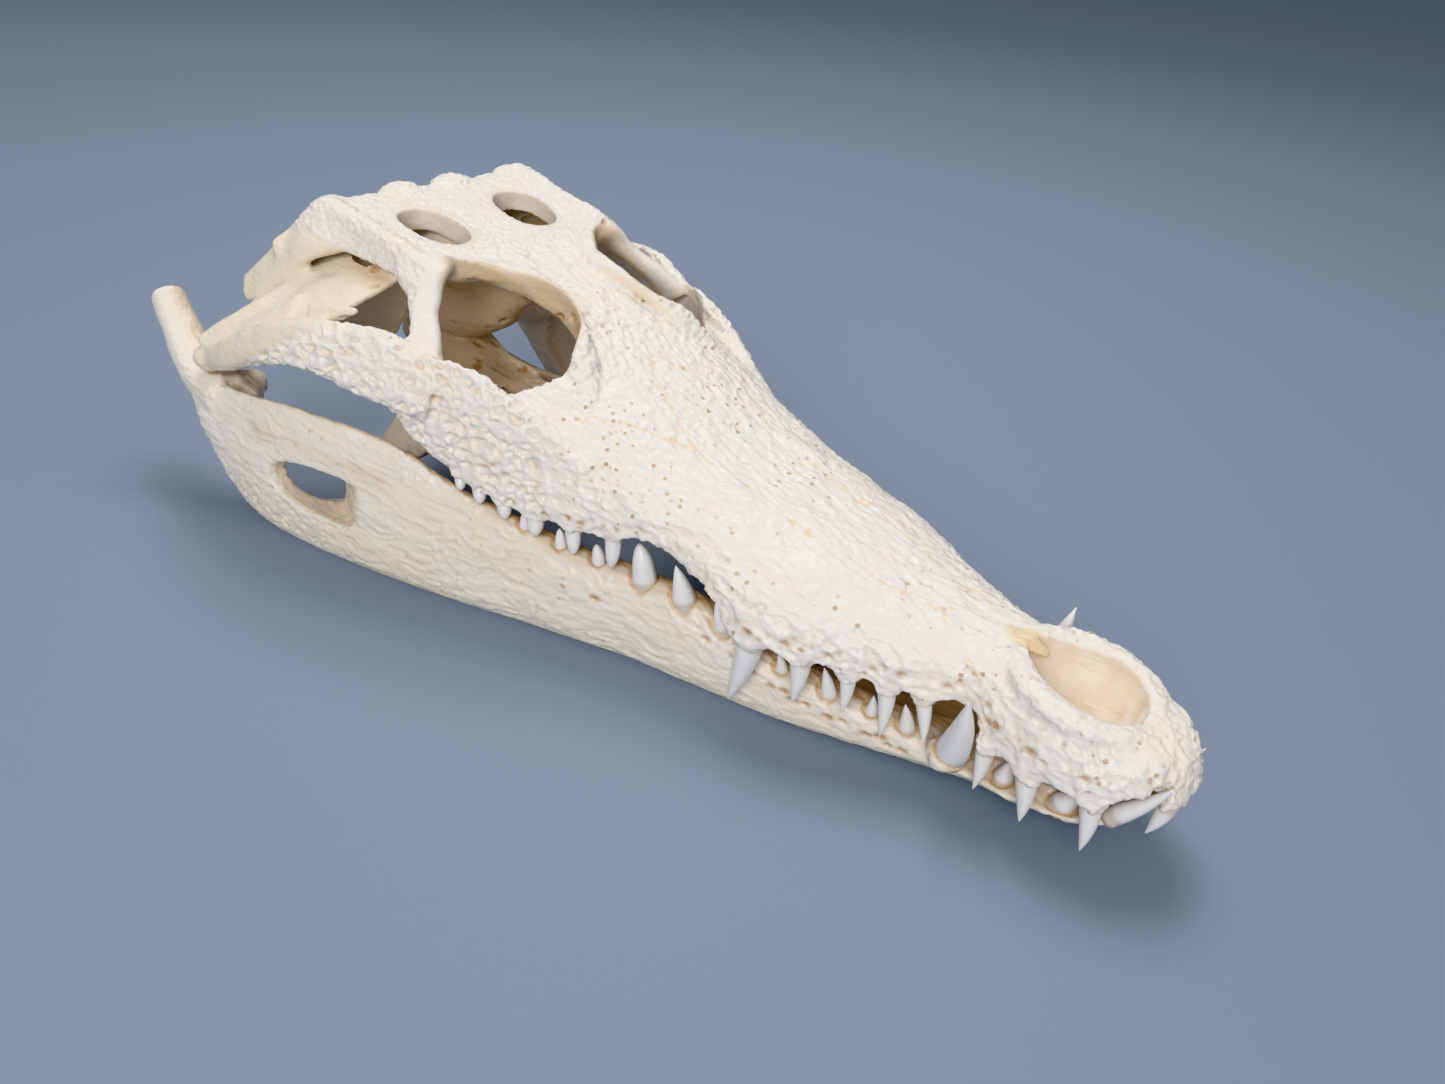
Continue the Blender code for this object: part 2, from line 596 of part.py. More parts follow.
def ramus():
    """The left half of the lower jaw, with the socket for the skull and the heel behind it."""
    rings = []
    for s in np.concatenate([[6.5, 7.5, 8.5], np.arange(10.0, 276.1, 3.0)]):
        x, half, low, high = (float(column(RAMUS, k, s)) for k in (1, 2, 3, 4))
        rear = min(1.0, max(0.0, (s - 140) / 45))
        fall = float(column(CHIN_FALL, 1, s))
        ring = []
        for u, v in around(32, 2.7):
            z = (low + high) / 2 + (high - low) / 2 * v - fall * max(0.0, u) * max(0.0, v)
            crest = 0.62 * rear * max(0.0, v) ** 1.5
            across = x + half * (u * (1 - crest) + 0.55 * crest) - 0.05 * rear * (z - low)
            ring.append((max(-0.6, across), s, z))
        rings.append(ring)
    body = mesh_of("ramus", rings)
    heel = sweep("heel", [
        (58.5, 262, 31.5, 8.0, 6.0), (58.2, 275, 32.2, 7.0, 5.8), (57.4, 285, 36.6, 5.9, 5.2),
        (56.0, 294, 43.6, 5.2, 4.7), (54.6, 301, 49.5, 4.8, 4.2),
    ], up=(0, -0.5, 0.87))
    shelf = sweep("shelf", [
        (60, 256, 32.0, 6, 4), (52, 266, 31.0, 5, 4.2), (47, 270, 30.0, 3.5, 3.5),
    ], up=(0, 0, 1))
    inner = sweep("inner", [
        (3, 40, 6.8, 7, 2.8), (5, 60, 6.4, 7, 2.8), (9, 78, 6.4, 6, 2.6), (16, 94, 7.5, 4, 2.0),
    ], up=(0, 0, 1))
    socket = ball("socket", (16.4, 46.6, 11.4), (5.3, 5.0, 3.8))
    return [body, heel, shelf, inner, socket]


def jaw_hollows():
    """The fossa, open at the top and toward the middle, and the window through the outer wall."""
    fossa = sweep("fossa", [
        (50.0, 213, 26.0, 2.5, 6.0), (50.6, 217.5, 25.5, 7.4, 10.0), (52.0, 223, 25.0, 7.6, 12.4),
        (53.0, 236, 23.5, 7.5, 14.5),
        (54.5, 248, 25.0, 6.0, 11.0), (56.0, 256, 28.0, 2.0, 4.0),
    ], up=(0, 0, 1), power=2.4)
    window = sweep("window", [
        (55.8, 213, 19.5, 18.6, 6.8), (74, 219, 21.5, 18.6, 6.8),
    ], up=(0, 0.05, 1), power=2.2, rings=4)
    return [fossa, window]


def floor():
    """A block below the floor, which cuts the flats that the jaw rests on."""
    outline = [(-90, -20), (90, -20), (90, 330), (-90, 330)]
    return well("floor", outline, -20, 0)


def jaw(voxel):
    """Both halves of the lower jaw, joined at the chin, without teeth."""
    obj = fused(linked("jaw", joined("jaw", both(ramus()))), voxel)
    boolean(obj, both(jaw_hollows()), "DIFFERENCE")
    fused(obj, voxel)
    softened(obj, SMOOTH_SPREAD * 0.6, voxel)
    boolean(obj, both(joint(JOINT_ROOM)), "DIFFERENCE")
    return softened(fused(obj, voxel), 1.0, voxel)


def spike(name, base, tip, radius, root, sides=TOOTH_SIDES, rings=TOOTH_RINGS, grow=0.0):
    """A tooth, bowed a little, from a root sunk below its base to its tip."""
    base, tip = Vector(base), Vector(tip)
    ahead = (tip - base).normalized()
    bow = Vector((0, -1, 0)) * (0.03 * (tip - base).length)
    stations = [(*(base - ahead * root), radius * 0.9 + grow, radius * 0.9 + grow)]
    for share, size in BLUNT_CROWN if base.y > BLUNT_FROM else SHARP_CROWN:
        place = base.lerp(tip, share) + bow * math.sin(math.pi * share)
        stations.append((*place, radius * size + grow, radius * size + grow))
    return sweep(name, stations, up=(0.3, 1, 0.2), power=2.0, sides=sides, rings=rings)


def upper_spots():
    """Base, tip and radius of the upper teeth of the left side."""
    spots = []
    for s, inset, tip, radius, lean in UPPER_TEETH:
        x = float(column(UPPER_JAW, 1, max(s, 1.4))) - inset
        z = float(column(UPPER_JAW, 2, max(s, 0.0))) + 0.5
        spots.append(((x, s + 0.4, z), (x + 1.2, s + lean, tip), radius))
    return spots


def lower_spots():
    """Base, tip and radius of the lower teeth of the left side."""
    spots = []
    for s, out, depth, tip, radius, back, spread in LOWER_TEETH:
        x = float(column(RAMUS, 1, s)) + out
        z = float(column(RAMUS, 4, s)) - depth
        spots.append(((x, s, z), (x + spread, s + back, tip), radius))
    return spots


def teeth(spots):
    """A tooth at each spot of the left side."""
    return [spike("tooth", base, tip, radius, TOOTH_ROOT) for base, tip, radius in spots]


def pit():
    """The pit in the tip of the snout that takes the first lower tooth."""
    base, tip, radius = lower_spots()[0]
    out = Vector((1.2, 0, 0))
    beyond = Vector(tip) + (Vector(tip) - Vector(base)).normalized() * 5
    return spike("pit", Vector(base) + out, beyond + out, radius * 1.15, 0.5, sides=12, grow=1.5)


def notch_gap():
    """Room beside the notch of the upper jaw for the long fourth lower tooth."""
    base, tip, radius = lower_spots()[3]
    return spike("gap", base, tip, radius, 0.5, sides=12, grow=0.7)


def cut(*corners):
    """A cutter as thin as the gap between two bones, over a flat outline."""
    p = [Vector(c) for c in corners]
    normal = (p[1] - p[0]).cross(p[2] - p[0]).normalized() * (GAP / 2)
    return mesh_of("cut", [[tuple(c - normal) for c in p], [tuple(c + normal) for c in p]])


def slope(s):
    """Height of the underside of the skull table."""
    return 74.0 + 0.15 * (s - 203.5)


def cranium_cuts():
    """The cuts that part the upper skull into its bones."""
    low, high = (184.0, 40.0), (153.0, 70.0)
    run = Vector((0, low[0] - high[0], low[1] - high[1])).normalized()
    out = Vector((0, -run.z, run.y))
    middle = Vector((0, low[0], low[1]))
    far, near = middle - run * 70, middle + run * 30
    side = Vector((70, 0, 0))
    band = Vector((30, 0, 0)) + middle - run * 34
    crossing = (band - run * 9, band + run * 9, band + run * 9 + out * 9, band - run * 9 + out * 9)
    table = [(-50, 194), (-27, 194), (-27, 203.5), (27, 203.5), (27, 194), (50, 194), (50, 262), (-50, 262)]
    roof = [(-45, 74), (-27, 74), (-27, 69), (27, 69), (27, 74), (45, 74), (45, 96), (-45, 96)]
    cuts = [
        cut((-40, 41, 10), (40, 41, 10), (40, 57, 50), (-40, 57, 50)),
        cut(far - side, far + side, near + side, near - side),
        cut(*[(x, s, slope(s)) for x, s in table]),
        cut(*[(x, 203.5, z) for x, z in roof]),
        cut((-16, 196, 50), (16, 196, 50), (16, 264, 50), (-16, 264, 50)),
    ]
    sides = [
        cut(*crossing),
        cut((16, 198, 50), (16, 264, 50), (16, 264, slope(264)), (16, 203.5, slope(203.5)), (16, 198, 73)),
        cut((11, 176, 26), (11, 237.4, 26), (11, 237.4, 50), (11, 176, 50)),
        cut((41, 212, 70.4), (74, 212, 70.4), (74, 254, 41.2), (41, 254, 41.2)),
        cut((24, 210.8, 64), (42, 210.8, 64), (42, 210.8, slope(210.8)), (24, 210.8, slope(210.8))),
    ]
    return cuts + both(sides)


def jaw_cuts():
    """The cuts that part the lower jaw into its bones."""
    chin = cut((0, -6, -6), (0, 96, -6), (0, 96, 30), (0, -6, 30))
    sides = [
        cut((30, 186, -6), (80, 186, -6), (80, 192, 60), (30, 192, 60)),
        cut((30, 257, -6), (80, 257, -6), (80, 264, 50), (30, 264, 50)),
    ]
    return [chin] + both(sides)


def bodies(mesh):
    """The separate closed bodies of a mesh, largest first, each a mesh of its own."""
    shape = bmesh.new()
    shape.from_mesh(mesh)
    shape.verts.ensure_lookup_table()
    seen, groups = set(), []
    for start in shape.verts:
        if start in seen:
            continue
        seen.add(start)
        group, edge = [start], [start]
        while edge:
            for link in edge.pop().link_edges:
                for vert in link.verts:
                    if vert not in seen:
                        seen.add(vert)
                        group.append(vert)
                        edge.append(vert)
        groups.append(group)
    made = []
    for group in groups:
        kept = set(group)
        faces = [f for f in shape.faces if f.verts[0] in kept]
        one = bmesh.new()
        match = {vert: one.verts.new(vert.co) for vert in group}
        for face in faces:
            one.faces.new([match[v] for v in face.verts])
        mesh_out = bpy.data.meshes.new("body")
        volume = one.calc_volume(signed=True)
        one.to_mesh(mesh_out)
        one.free()
        made.append((volume, mesh_out))
    shape.free()
    return [body for volume, body in sorted(made, key=lambda pair: -pair[0])]


def largest(obj):
    """The object with only its largest closed body."""
    found = bodies(obj.data)
    obj.data = found[0]
    for other in found[1:]:
        bpy.data.meshes.remove(other)
    return obj


def distance(mesh, seed):
    """How near the mesh's vertices come to a place given in millimetres."""
    place = point(*seed)
    return min((vert.co - place).length for vert in mesh.vertices)


# Each node of the skull: a place on it, and the teeth that grow from it, if any
SEEDS = {
    "cranium": {
        "premaxilla": (0, 4, 30),
        "maxilla": (0, 100, 46),
        "frontal": (0, 185, 76),
        "skull_table": (0, 230, 85),
        "braincase": (0, 247, 78),
        "palatine": (0, 195, 40),
        "pterygoid_left": (36, 215, 27),
        "quadrate_left": (53, 264, 52),
        "jugal_left": (50, 190, 58),
    },
    "jaw": {
        "dentary_left": (32, 128, 3),
        "angular_left": (60, 222, 3),
        "articular_left": (56, 290, 42),
    },
}


def parted(obj, cuts, seeds):
    """The object's mesh cut into nodes, each the body that comes nearest its seed."""
    boolean(obj, cuts, "DIFFERENCE")
    found = bodies(obj.data)
    wanted = {}
    for name, seed in seeds.items():
        wanted[name] = seed
        if name.endswith("_left"):
            wanted[name.replace("_left", "_right")] = (-seed[0], seed[1], seed[2])
    nodes = {}
    for name, seed in wanted.items():
        big = [body for body in found if len(body.vertices) > 20]
        nodes[name] = linked(name, min(big, key=lambda body: distance(body, seed)).copy())
    for body in found:
        bpy.data.meshes.remove(body)
    bpy.data.objects.remove(obj)
    return nodes


def in_front(spots, start, end):
    return [spot for spot in spots if start <= spot[0][1] < end]


def rooted(node, spots, mirror_to=0):
    """The node with its teeth joined to it: both sides, or the side that mirror_to names."""
    made = teeth(spots)
    if mirror_to == 0:
        made = both(made)
    if mirror_to < 0:
        left = made
        made = both(made)[len(left):]
        for mesh in left:
            bpy.data.meshes.remove(mesh)
    boolean(node, made, "UNION")
    return largest(node)


TINTS = {
    "upper": (0.82, 0.77, 0.68, 1.0),
    "lower": (0.78, 0.70, 0.55, 1.0),
    "inner": (0.70, 0.58, 0.42, 1.0),
}
INNER = ("braincase", "palatine", "pterygoid")
LOWER = ("dentary", "angular", "articular", "quadrate")


def coloured(node):
    """A bone material of the node's own."""
    name = node.name.split("_")[0]
    tint = "inner" if name in INNER else "lower" if name in LOWER else "upper"
    material = bpy.data.materials.new(node.name + "_bone")
    material.use_nodes = True
    shader = material.node_tree.nodes["Principled BSDF"]
    shader.inputs["Base Color"].default_value = TINTS[tint]
    shader.inputs["Roughness"].default_value = 0.6
    shader.inputs["Metallic"].default_value = 0.0
    node.data.materials.clear()
    node.data.materials.append(material)


def clear():
    for obj in list(bpy.data.objects):
        bpy.data.objects.remove(obj)


def closed(mesh):
    """Whether every edge of the mesh joins exactly two faces."""
    shape = bmesh.new()
    shape.from_mesh(mesh)
    whole = all(edge.is_manifold for edge in shape.edges)
    shape.free()
    return whole


def thinned(obj, triangles):
    """The object with its surface reduced to about the number of triangles, still closed."""
    full = obj.data
    for extra in range(0, 600, 60):
        obj.data = full.copy()
        thin = obj.modifiers.new("thin", "DECIMATE")
        thin.ratio = (triangles + extra) / (2 * len(full.polygons))
        applied(obj)
        if closed(obj.data):
            break
    return obj


def main():
    clear()
    upper = thinned(cranium(VOXEL), BONE_TRIANGLES["cranium"])
    nodes = parted(upper, cranium_cuts(), SEEDS["cranium"])
    lower = boolean(thinned(jaw(VOXEL), BONE_TRIANGLES["jaw"]), [floor()], "DIFFERENCE")
    nodes.update(parted(lower, jaw_cuts(), SEEDS["jaw"]))
    rooted(nodes["premaxilla"], in_front(upper_spots(), 0, 44))
    rooted(nodes["maxilla"], in_front(upper_spots(), 44, 200))
    rooted(nodes["dentary_left"], lower_spots(), mirror_to=1)
    rooted(nodes["dentary_right"], lower_spots(), mirror_to=-1)
    collection = bpy.data.collections.new("crocodile_skull")
    bpy.context.scene.collection.children.link(collection)
    for node in nodes.values():
        coloured(node)
        collection.objects.link(node)
        bpy.context.scene.collection.objects.unlink(node)
        node.data.shade_smooth()
        node.data.set_sharp_from_angle(angle=math.radians(40))


main()
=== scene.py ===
"""The looks of the crocodile skull: pitted and wrinkled bone, ridged teeth, floor, light and camera.

The bones are grown here from the same named sizes as the solids, on a finer grid, and then carved.
Sizes are in millimetres until point() turns them into metres. x runs to the skull's left, s runs
back from the tip of the snout and z runs up from the floor.
"""

import itertools
import json
from math import copysign, cos, exp, pi, radians, sin

import bmesh
import bpy
import numpy as np
from mathutils import Matrix, Vector

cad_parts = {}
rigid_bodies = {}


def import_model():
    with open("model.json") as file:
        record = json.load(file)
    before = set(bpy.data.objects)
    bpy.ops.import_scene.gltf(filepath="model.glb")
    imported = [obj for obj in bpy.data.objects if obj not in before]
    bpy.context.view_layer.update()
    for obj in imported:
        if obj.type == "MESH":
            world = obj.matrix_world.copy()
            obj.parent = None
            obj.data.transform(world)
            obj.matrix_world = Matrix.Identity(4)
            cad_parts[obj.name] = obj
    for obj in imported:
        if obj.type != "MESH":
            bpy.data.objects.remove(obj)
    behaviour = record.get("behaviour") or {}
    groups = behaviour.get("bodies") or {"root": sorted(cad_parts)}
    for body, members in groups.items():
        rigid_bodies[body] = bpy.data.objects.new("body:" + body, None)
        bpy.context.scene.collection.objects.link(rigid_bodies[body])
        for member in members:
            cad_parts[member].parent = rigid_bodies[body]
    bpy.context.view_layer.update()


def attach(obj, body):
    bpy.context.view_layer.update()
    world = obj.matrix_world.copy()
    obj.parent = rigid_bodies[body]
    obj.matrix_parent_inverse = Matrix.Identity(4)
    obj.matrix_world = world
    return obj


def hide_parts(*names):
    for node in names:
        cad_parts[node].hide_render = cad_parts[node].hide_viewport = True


# Size of the grid and other lengths in millimetres, and a millimetre in metres
FINE = 0.5
MM = 0.001
JAW_REAR = 303.0
SNOUT_TIP = -0.4
MIDDLE = (JAW_REAR + SNOUT_TIP) / 2
SMOOTH_SPREAD = 5.0
JOINT_ROOM = 0.7
TOOTH_ROOT = 2.8
TOOTH_BOW = 0.03
CUTTER_ROOT = 0.5
EGG_POWER = 2.3

# Plan and profile of the upper jaw: s, half width at the tooth row, its height, height of the top
UPPER_JAW = (
    (0, 4, 19, 23), (2.5, 8.5, 18.6, 28), (10, 15.5, 17.6, 32), (22, 18.8, 16.8, 34.6),
    (33, 18.2, 16.2, 36.2), (39.5, 16.2, 16.6, 37), (44, 14.8, 20.4, 37.2), (49, 16, 21, 37.5),
    (54, 18.5, 21.2, 38.1), (66, 23.5, 21.6, 39.5), (80, 29.8, 23, 42), (92, 33.6, 22.8, 44.5),
    (97, 33.4, 23.4, 45.4), (103, 32.8, 28.6, 46.7), (114, 32, 32.4, 49), (125, 33.8, 35.2, 52.2),
    (133, 36, 33.6, 55.2), (141, 38.5, 32.6, 58.5), (154, 42.8, 32.6, 64), (167, 46, 34.4, 69.5),
    (178, 48, 36, 74),
)

# How far the margin of the upper jaw is arched up between its teeth: s, height
FESTOON = ((0, 0.5), (3, 3), (7, 5.5), (12, 4), (17, 2.6), (92, 2.8), (100, 1.2), (178, 1))

# Lower jaw, left ramus: s, x of its middle, half thickness, height of its lower and upper edge
RAMUS = (
    (7, 2.5, 3.3, 12.6, 15.8), (10.5, 4.4, 6, 10.4, 16), (20, 6, 8, 7.2, 14), (32, 6.4, 8.2, 5, 12),
    (40, 6.4, 7.4, 3.8, 11.2), (48, 7.4, 8, 2.6, 10.8), (60, 12, 5.8, 1.2, 12.2),
    (74, 16.8, 5.4, 0.4, 13.6), (88, 21.2, 5.2, -0.2, 15.8), (98, 23.4, 5.2, -0.5, 18.2),
    (108, 25.5, 5.3, -0.6, 22.6), (114, 26.9, 5.4, -0.6, 24.4), (128, 30, 5.5, -0.4, 25.4),
    (140, 33.8, 5.7, -0.4, 25.9), (150, 37, 5.8, -0.4, 26.8), (160, 40.2, 6, -0.5, 29.4),
    (168, 43, 6.2, -0.6, 31.2), (176, 45.6, 6.3, -0.7, 33), (184, 48, 6.6, -0.8, 35.6),
    (192, 50.4, 6.8, -0.8, 39.2), (204, 53.5, 7, -0.9, 41), (224, 58, 6.8, -0.9, 41),
    (242, 60.5, 6.4, -0.4, 38.6), (254, 61, 6.2, 3, 37), (262, 60.8, 6.2, 10, 36.4),
    (270, 60, 6.4, 19, 36.6), (276, 59, 5.6, 27, 37),
)

# How far the top of the chin falls toward its outer edge: s, height
CHIN_FALL = ((0, 0), (8, 0), (15, 4.8), (40, 4.8), (60, 0), (300, 0))

# Upper teeth of one side: s, x inset from the margin, height of the tip, radius, lean back to the tip
UPPER_TEETH = (
    (2.6, 3, 11.2, 1.9, 2.2), (14.3, 1.9, 6.6, 2.2, -0.6), (28, 2, 6.1, 2.3, -1),
    (38.6, 1, 6.4, 2, 0.4), (54.4, 2, 11.5, 1.8, -2.2), (62.1, 2.2, 9.6, 2.05, -0.6),
    (70.2, 2.2, 13.3, 1.8, 0), (80.5, 2.6, 12.1, 2.4, 0.4), (92.8, 3.4, 5, 3.2, 4.2),
    (133.5, 1.9, 26.3, 2.05, -0.3), (144, 1.9, 27, 2, -1.2), (153.7, 1.9, 28.5, 2.2, -0.4),
    (162.8, 1.9, 30.7, 1.9, -1.4), (170.2, 1.9, 32.3, 1.8, -1.2), (176.2, 1.9, 33.9, 1.5, -1),
)

# Lower teeth of one side: s, x out from the middle of the ramus, depth of the base under its top,
# height of the tip, radius, lean back and lean out to the tip
LOWER_TEETH = (
    (10.5, 5.1, 1.6, 26.4, 2, -8.1, -0.9), (21.4, 4.5, 3.2, 15.8, 2.5, -2.8, 0.6),
    (35.2, 4.3, 3, 14, 2.2, -0.5, 0.6), (45.6, 10.2, -2.6, 34, 3.5, -4, 7.5),
    (58.6, 2.6, 1.8, 17.4, 2, 0.8, 1.6), (66.8, 2.2, 1.8, 16.5, 1.6, -0.2, 0.8),
    (76.8, 2, 1.8, 19.8, 2, 1.6, 1.4), (88.4, 1.6, 1.8, 20, 1.5, 0.8, 1.4),
    (104.6, 1.2, 1.8, 26.2, 2.3, 2, 1.4), (115.4, 1, 1.8, 32, 2.9, 2.4, 1.4),
    (126.6, 0.6, 1.8, 33.4, 3, 2, 0.6), (138.8, 0.4, 1.8, 29.4, 1.8, 0.8, 0.4),
    (149, 0.4, 1.8, 30.6, 1.6, 0.4, 0.2), (158.8, 0.4, 1.8, 32.4, 1.5, 0.2, 0),
)

# Teeth behind this place are blunt; a slender one has this radius at each share of its length
BLUNT_FROM = 125.0
SHARP_CROWN = ((0, 1.05), (0.35, 0.88), (0.7, 0.52), (1, 0.12))

# The nostril, an egg with its narrow end to the rear: s, half width and half height of its hollow
NOSTRIL = (
    (12.9, 1, 1.5), (13.8, 4.4, 6), (16, 7.6, 9.6), (20, 10.2, 12.2), (25, 11, 12.9), (30, 10, 12.4),
    (35, 7.6, 10.8), (39, 4.8, 8.6), (41.4, 2.2, 5), (42, 0.8, 2),
)
NOSTRIL_HEIGHT = 38.5

# Openings for an eye and behind it, in plan: middle (x, s), half width, half length, how much the
# end at the snout is narrowed, and turn in degrees
ORBIT = ((27.6, 183.4), 14.8, 21.3, 0.1, -27)
TEMPLE = ((15.2, 223), 7.2, 10.8, 0, -6)

# Plate of the skull table: s, half width, height of the top
TABLE = (
    (202.5, 25, 80), (206, 32.6, 81.2), (214, 33.6, 82.6), (226, 33.8, 84.8), (237, 35.2, 86.2),
    (248, 36.4, 87.2),
)

# Space behind and below the eyes: s, half width, its floor and its roof
CAVITY = (
    (151, 16, 50, 57), (156, 24, 44, 60), (162, 31, 30, 62.5), (170, 37, 20, 65.8),
    (180, 40.5, 20, 69.8), (192, 44, 20, 73), (212, 46, 20, 74),
)


def hermite(knots, values, at):
    """A smooth curve through values at knots, with no overshoot."""
    knots = np.asarray(knots, float)
    values = np.asarray(values, float)
    step = np.diff(knots)
    rise = np.diff(values) / step
    slope = np.zeros(len(knots))
    same = rise[1:] * rise[:-1] > 0
    slope[1:-1][same] = 2 * rise[1:][same] * rise[:-1][same] / (rise[1:] + rise[:-1])[same]
    slope[0] = rise[0]
    slope[-1] = rise[-1]
    i = np.clip(np.searchsorted(knots, at, side="right") - 1, 0, len(step) - 1)
    t = (at - knots[i]) / step[i]
    return (
        values[i] * (1 + 2 * t) * (1 - t) ** 2
        + slope[i] * step[i] * t * (1 - t) ** 2
        + values[i + 1] * t * t * (3 - 2 * t)
        - slope[i + 1] * step[i] * t * t * (1 - t)
    )


def station(table, at):
    """A station table read at one place, each column as a smooth curve of the first."""
    rows = np.array(table).T
    return [float(hermite(rows[0], row, at)) for row in rows[1:]]


def limited(value):
    """The value kept from 0 to 1."""
    return np.clip(value, 0.0, 1.0)


def point(x, s, z):
    """A place in the skull, in millimetres, as a vertex in metres."""
    return Vector((x * MM, (s - MIDDLE) * MM, z * MM))


def freed(shape, name="shape"):
    """A mesh made from a bmesh, which is then freed."""
    mesh = bpy.data.meshes.new(name)
    shape.to_mesh(mesh)
    shape.free()
    return mesh


def mesh_of(rings):
    """A closed mesh through rings of points, each ring a list of (x, s, z)."""
    shape = bmesh.new()
    rows = [[shape.verts.new(point(*p)) for p in ring] for ring in rings]
    count = len(rows[0])
    for near, far in zip(rows, rows[1:]):
        for i in range(count):
            j = (i + 1) % count
            shape.faces.new((near[i], near[j], far[j], far[i]))
    shape.faces.new(rows[0][::-1])
    shape.faces.new(rows[-1])
    bmesh.ops.recalc_face_normals(shape, faces=shape.faces)
    return freed(shape)


def squared(value, power):
    """A sine or cosine changed so that its circle becomes a superellipse."""
    return copysign(abs(value) ** (2 / power), value)


def around(count, power):
    """Unit points round a superellipse, from +a toward +b."""
    angles = [2 * pi * i / count for i in range(count)]
    return [(squared(cos(a), power), squared(sin(a), power)) for a in angles]


def sweep(stations, up=(0, 0, 1), power=2.2, sides=28, rings=36):
    """A bar along stations (x, s, z, half width, half height), its height toward up."""
    rows = np.array(stations, float)
    lengths = np.linalg.norm(np.diff(rows[:, :3], axis=0), axis=1)
    along = np.concatenate([[0], np.cumsum(lengths)])
    at = np.linspace(0, along[-1], rings)
    path = np.stack([hermite(along, rows[:, k], at) for k in range(5)], axis=1)
    tangents = np.gradient(path[:, :3], axis=0)
    made = []
    for (x, s, z, a, b), tangent in zip(path, tangents):
        ahead = Vector(tangent).normalized()
        across = ahead.cross(Vector(up)).normalized()
        height = across.cross(ahead)
        made.append([
            (x, s, z) + np.array(across * (a * u) + height * (b * v))
            for u, v in around(sides, power)
        ])
    return mesh_of(made)


def slab(corners, thickness, bulge=0.0, thin=1.0):
    """A plate over four corners in order, arched by bulge along its normal, its first edge thinned."""
    steps = 14
    p = [Vector(c) for c in corners]
    normal = (p[2] - p[0]).cross(p[3] - p[1]).normalized()
    rings = []
    for i in range(steps + 1):
        u = i / steps
        row = []
        for j in range(steps + 1):
            v = j / steps
            at = (p[0] * (1 - u) + p[3] * u) * (1 - v) + (p[1] * (1 - u) + p[2] * u) * v
            crown = 16 * u * (1 - u) * v * (1 - v)
            depth = thickness / 2 * (thin + (1 - thin) * limited(2.5 * v))
            row.append((at + normal * (bulge * crown), depth))
        top = [at + normal * depth for at, depth in row]
        under = [at - normal * depth for at, depth in reversed(row)]
        rings.append([tuple(q) for q in top + under])
    return mesh_of(rings)


def turned(x, s, turn):
    """A place in plan turned about the origin by turn degrees."""
    c, w = cos(radians(turn)), sin(radians(turn))
    return c * x - w * s, w * x + c * s


def ball(centre, radii, turn=0):
    """An ellipsoid with radii along x, s and z, turned about z by turn degrees."""
    shape = bmesh.new()
    bmesh.ops.create_uvsphere(shape, u_segments=32, v_segments=20, radius=1.0)
    for vert in shape.verts:
        x, s, z = (vert.co[k] * radii[k] for k in range(3))
        x, s = turned(x, s, turn)
        vert.co = point(centre[0] + x, centre[1] + s, centre[2] + z)
    return freed(shape)


def well(outline, low, high, lean=0):
    """An upright cutter on an outline of (x, s), from low to high, its top shifted out by lean."""
    return mesh_of([
        [(x + lean * share, s, low + (high - low) * share) for x, s in outline]
        for share in (0.0, 0.5, 1.0)
    ])


def egg(centre, half_x, half_s, narrow, turn):
    """An egg outline in plan, narrowed toward the snout by narrow, turned by turn degrees."""
    made = []
    for u, v in around(40, EGG_POWER):
        x, s = turned(u * half_x * (1 + narrow * v), v * half_s, turn)
        made.append((centre[0] + x, centre[1] + s))
    return made


def both(meshes):
    """The meshes, and their mirror images across the midline."""
    made = list(meshes)
    for mesh in meshes:
        other = mesh.copy()
        for vert in other.vertices:
            vert.co.x = -vert.co.x
        other.flip_normals()
        made.append(other)
    return made


def joined(name, meshes):
    """A new object with all the bodies in one mesh."""
    shape = bmesh.new()
    for mesh in meshes:
        shape.from_mesh(mesh)
    made = freed(shape, name)
    for mesh in meshes:
        bpy.data.meshes.remove(mesh)
    return linked(name, made)


def applied(obj):
    """The object's mesh with its modifiers in it, which are then removed."""
    bpy.context.view_layer.update()
    graph = bpy.context.evaluated_depsgraph_get()
    made = bpy.data.meshes.new_from_object(obj.evaluated_get(graph))
    obj.modifiers.clear()
    old = obj.data
    obj.data = made
    bpy.data.meshes.remove(old)
    return obj


def linked(name, data):
    """A mesh, lamp or camera as a new object of the scene."""
    obj = bpy.data.objects.new(name, data)
    bpy.context.scene.collection.objects.link(obj)
    return obj


def fused(obj):
    """The object's overlapping bodies grown into one skin."""
    remesh = obj.modifiers.new("fuse", "REMESH")
    remesh.mode = "VOXEL"
    remesh.voxel_size = FINE * MM
    remesh.adaptivity = 0.0
    return applied(obj)


def softened(obj, spread):
    """The object with its creases eased."""
    smooth = obj.modifiers.new("soften", "SMOOTH")
    smooth.factor = 0.5
    smooth.iterations = round(spread / FINE**2)
    return applied(obj)


def boolean(obj, meshes, operation="DIFFERENCE"):
    """The object with the meshes joined to it or cut from it, in one step."""
    tools = bpy.data.collections.new("tools")
    bpy.context.scene.collection.children.link(tools)
    for mesh in meshes:
        tools.objects.link(bpy.data.objects.new(mesh.name, mesh))
    step = obj.modifiers.new("boolean", "BOOLEAN")
    step.operation = operation
    step.operand_type = "COLLECTION"
    step.collection = tools
    step.solver = "MANIFOLD"
    applied(obj)
    for tool in list(tools.objects):
        bpy.data.objects.remove(tool)
    bpy.data.collections.remove(tools)
    return obj


def arch(s):
    """From 0 at a tooth of the upper jaw to 1 midway between two, where its margin is arched up."""
    return 1 - max(exp(-((s - tooth[0]) / (1.35 * tooth[3])) ** 2) for tooth in UPPER_TEETH)


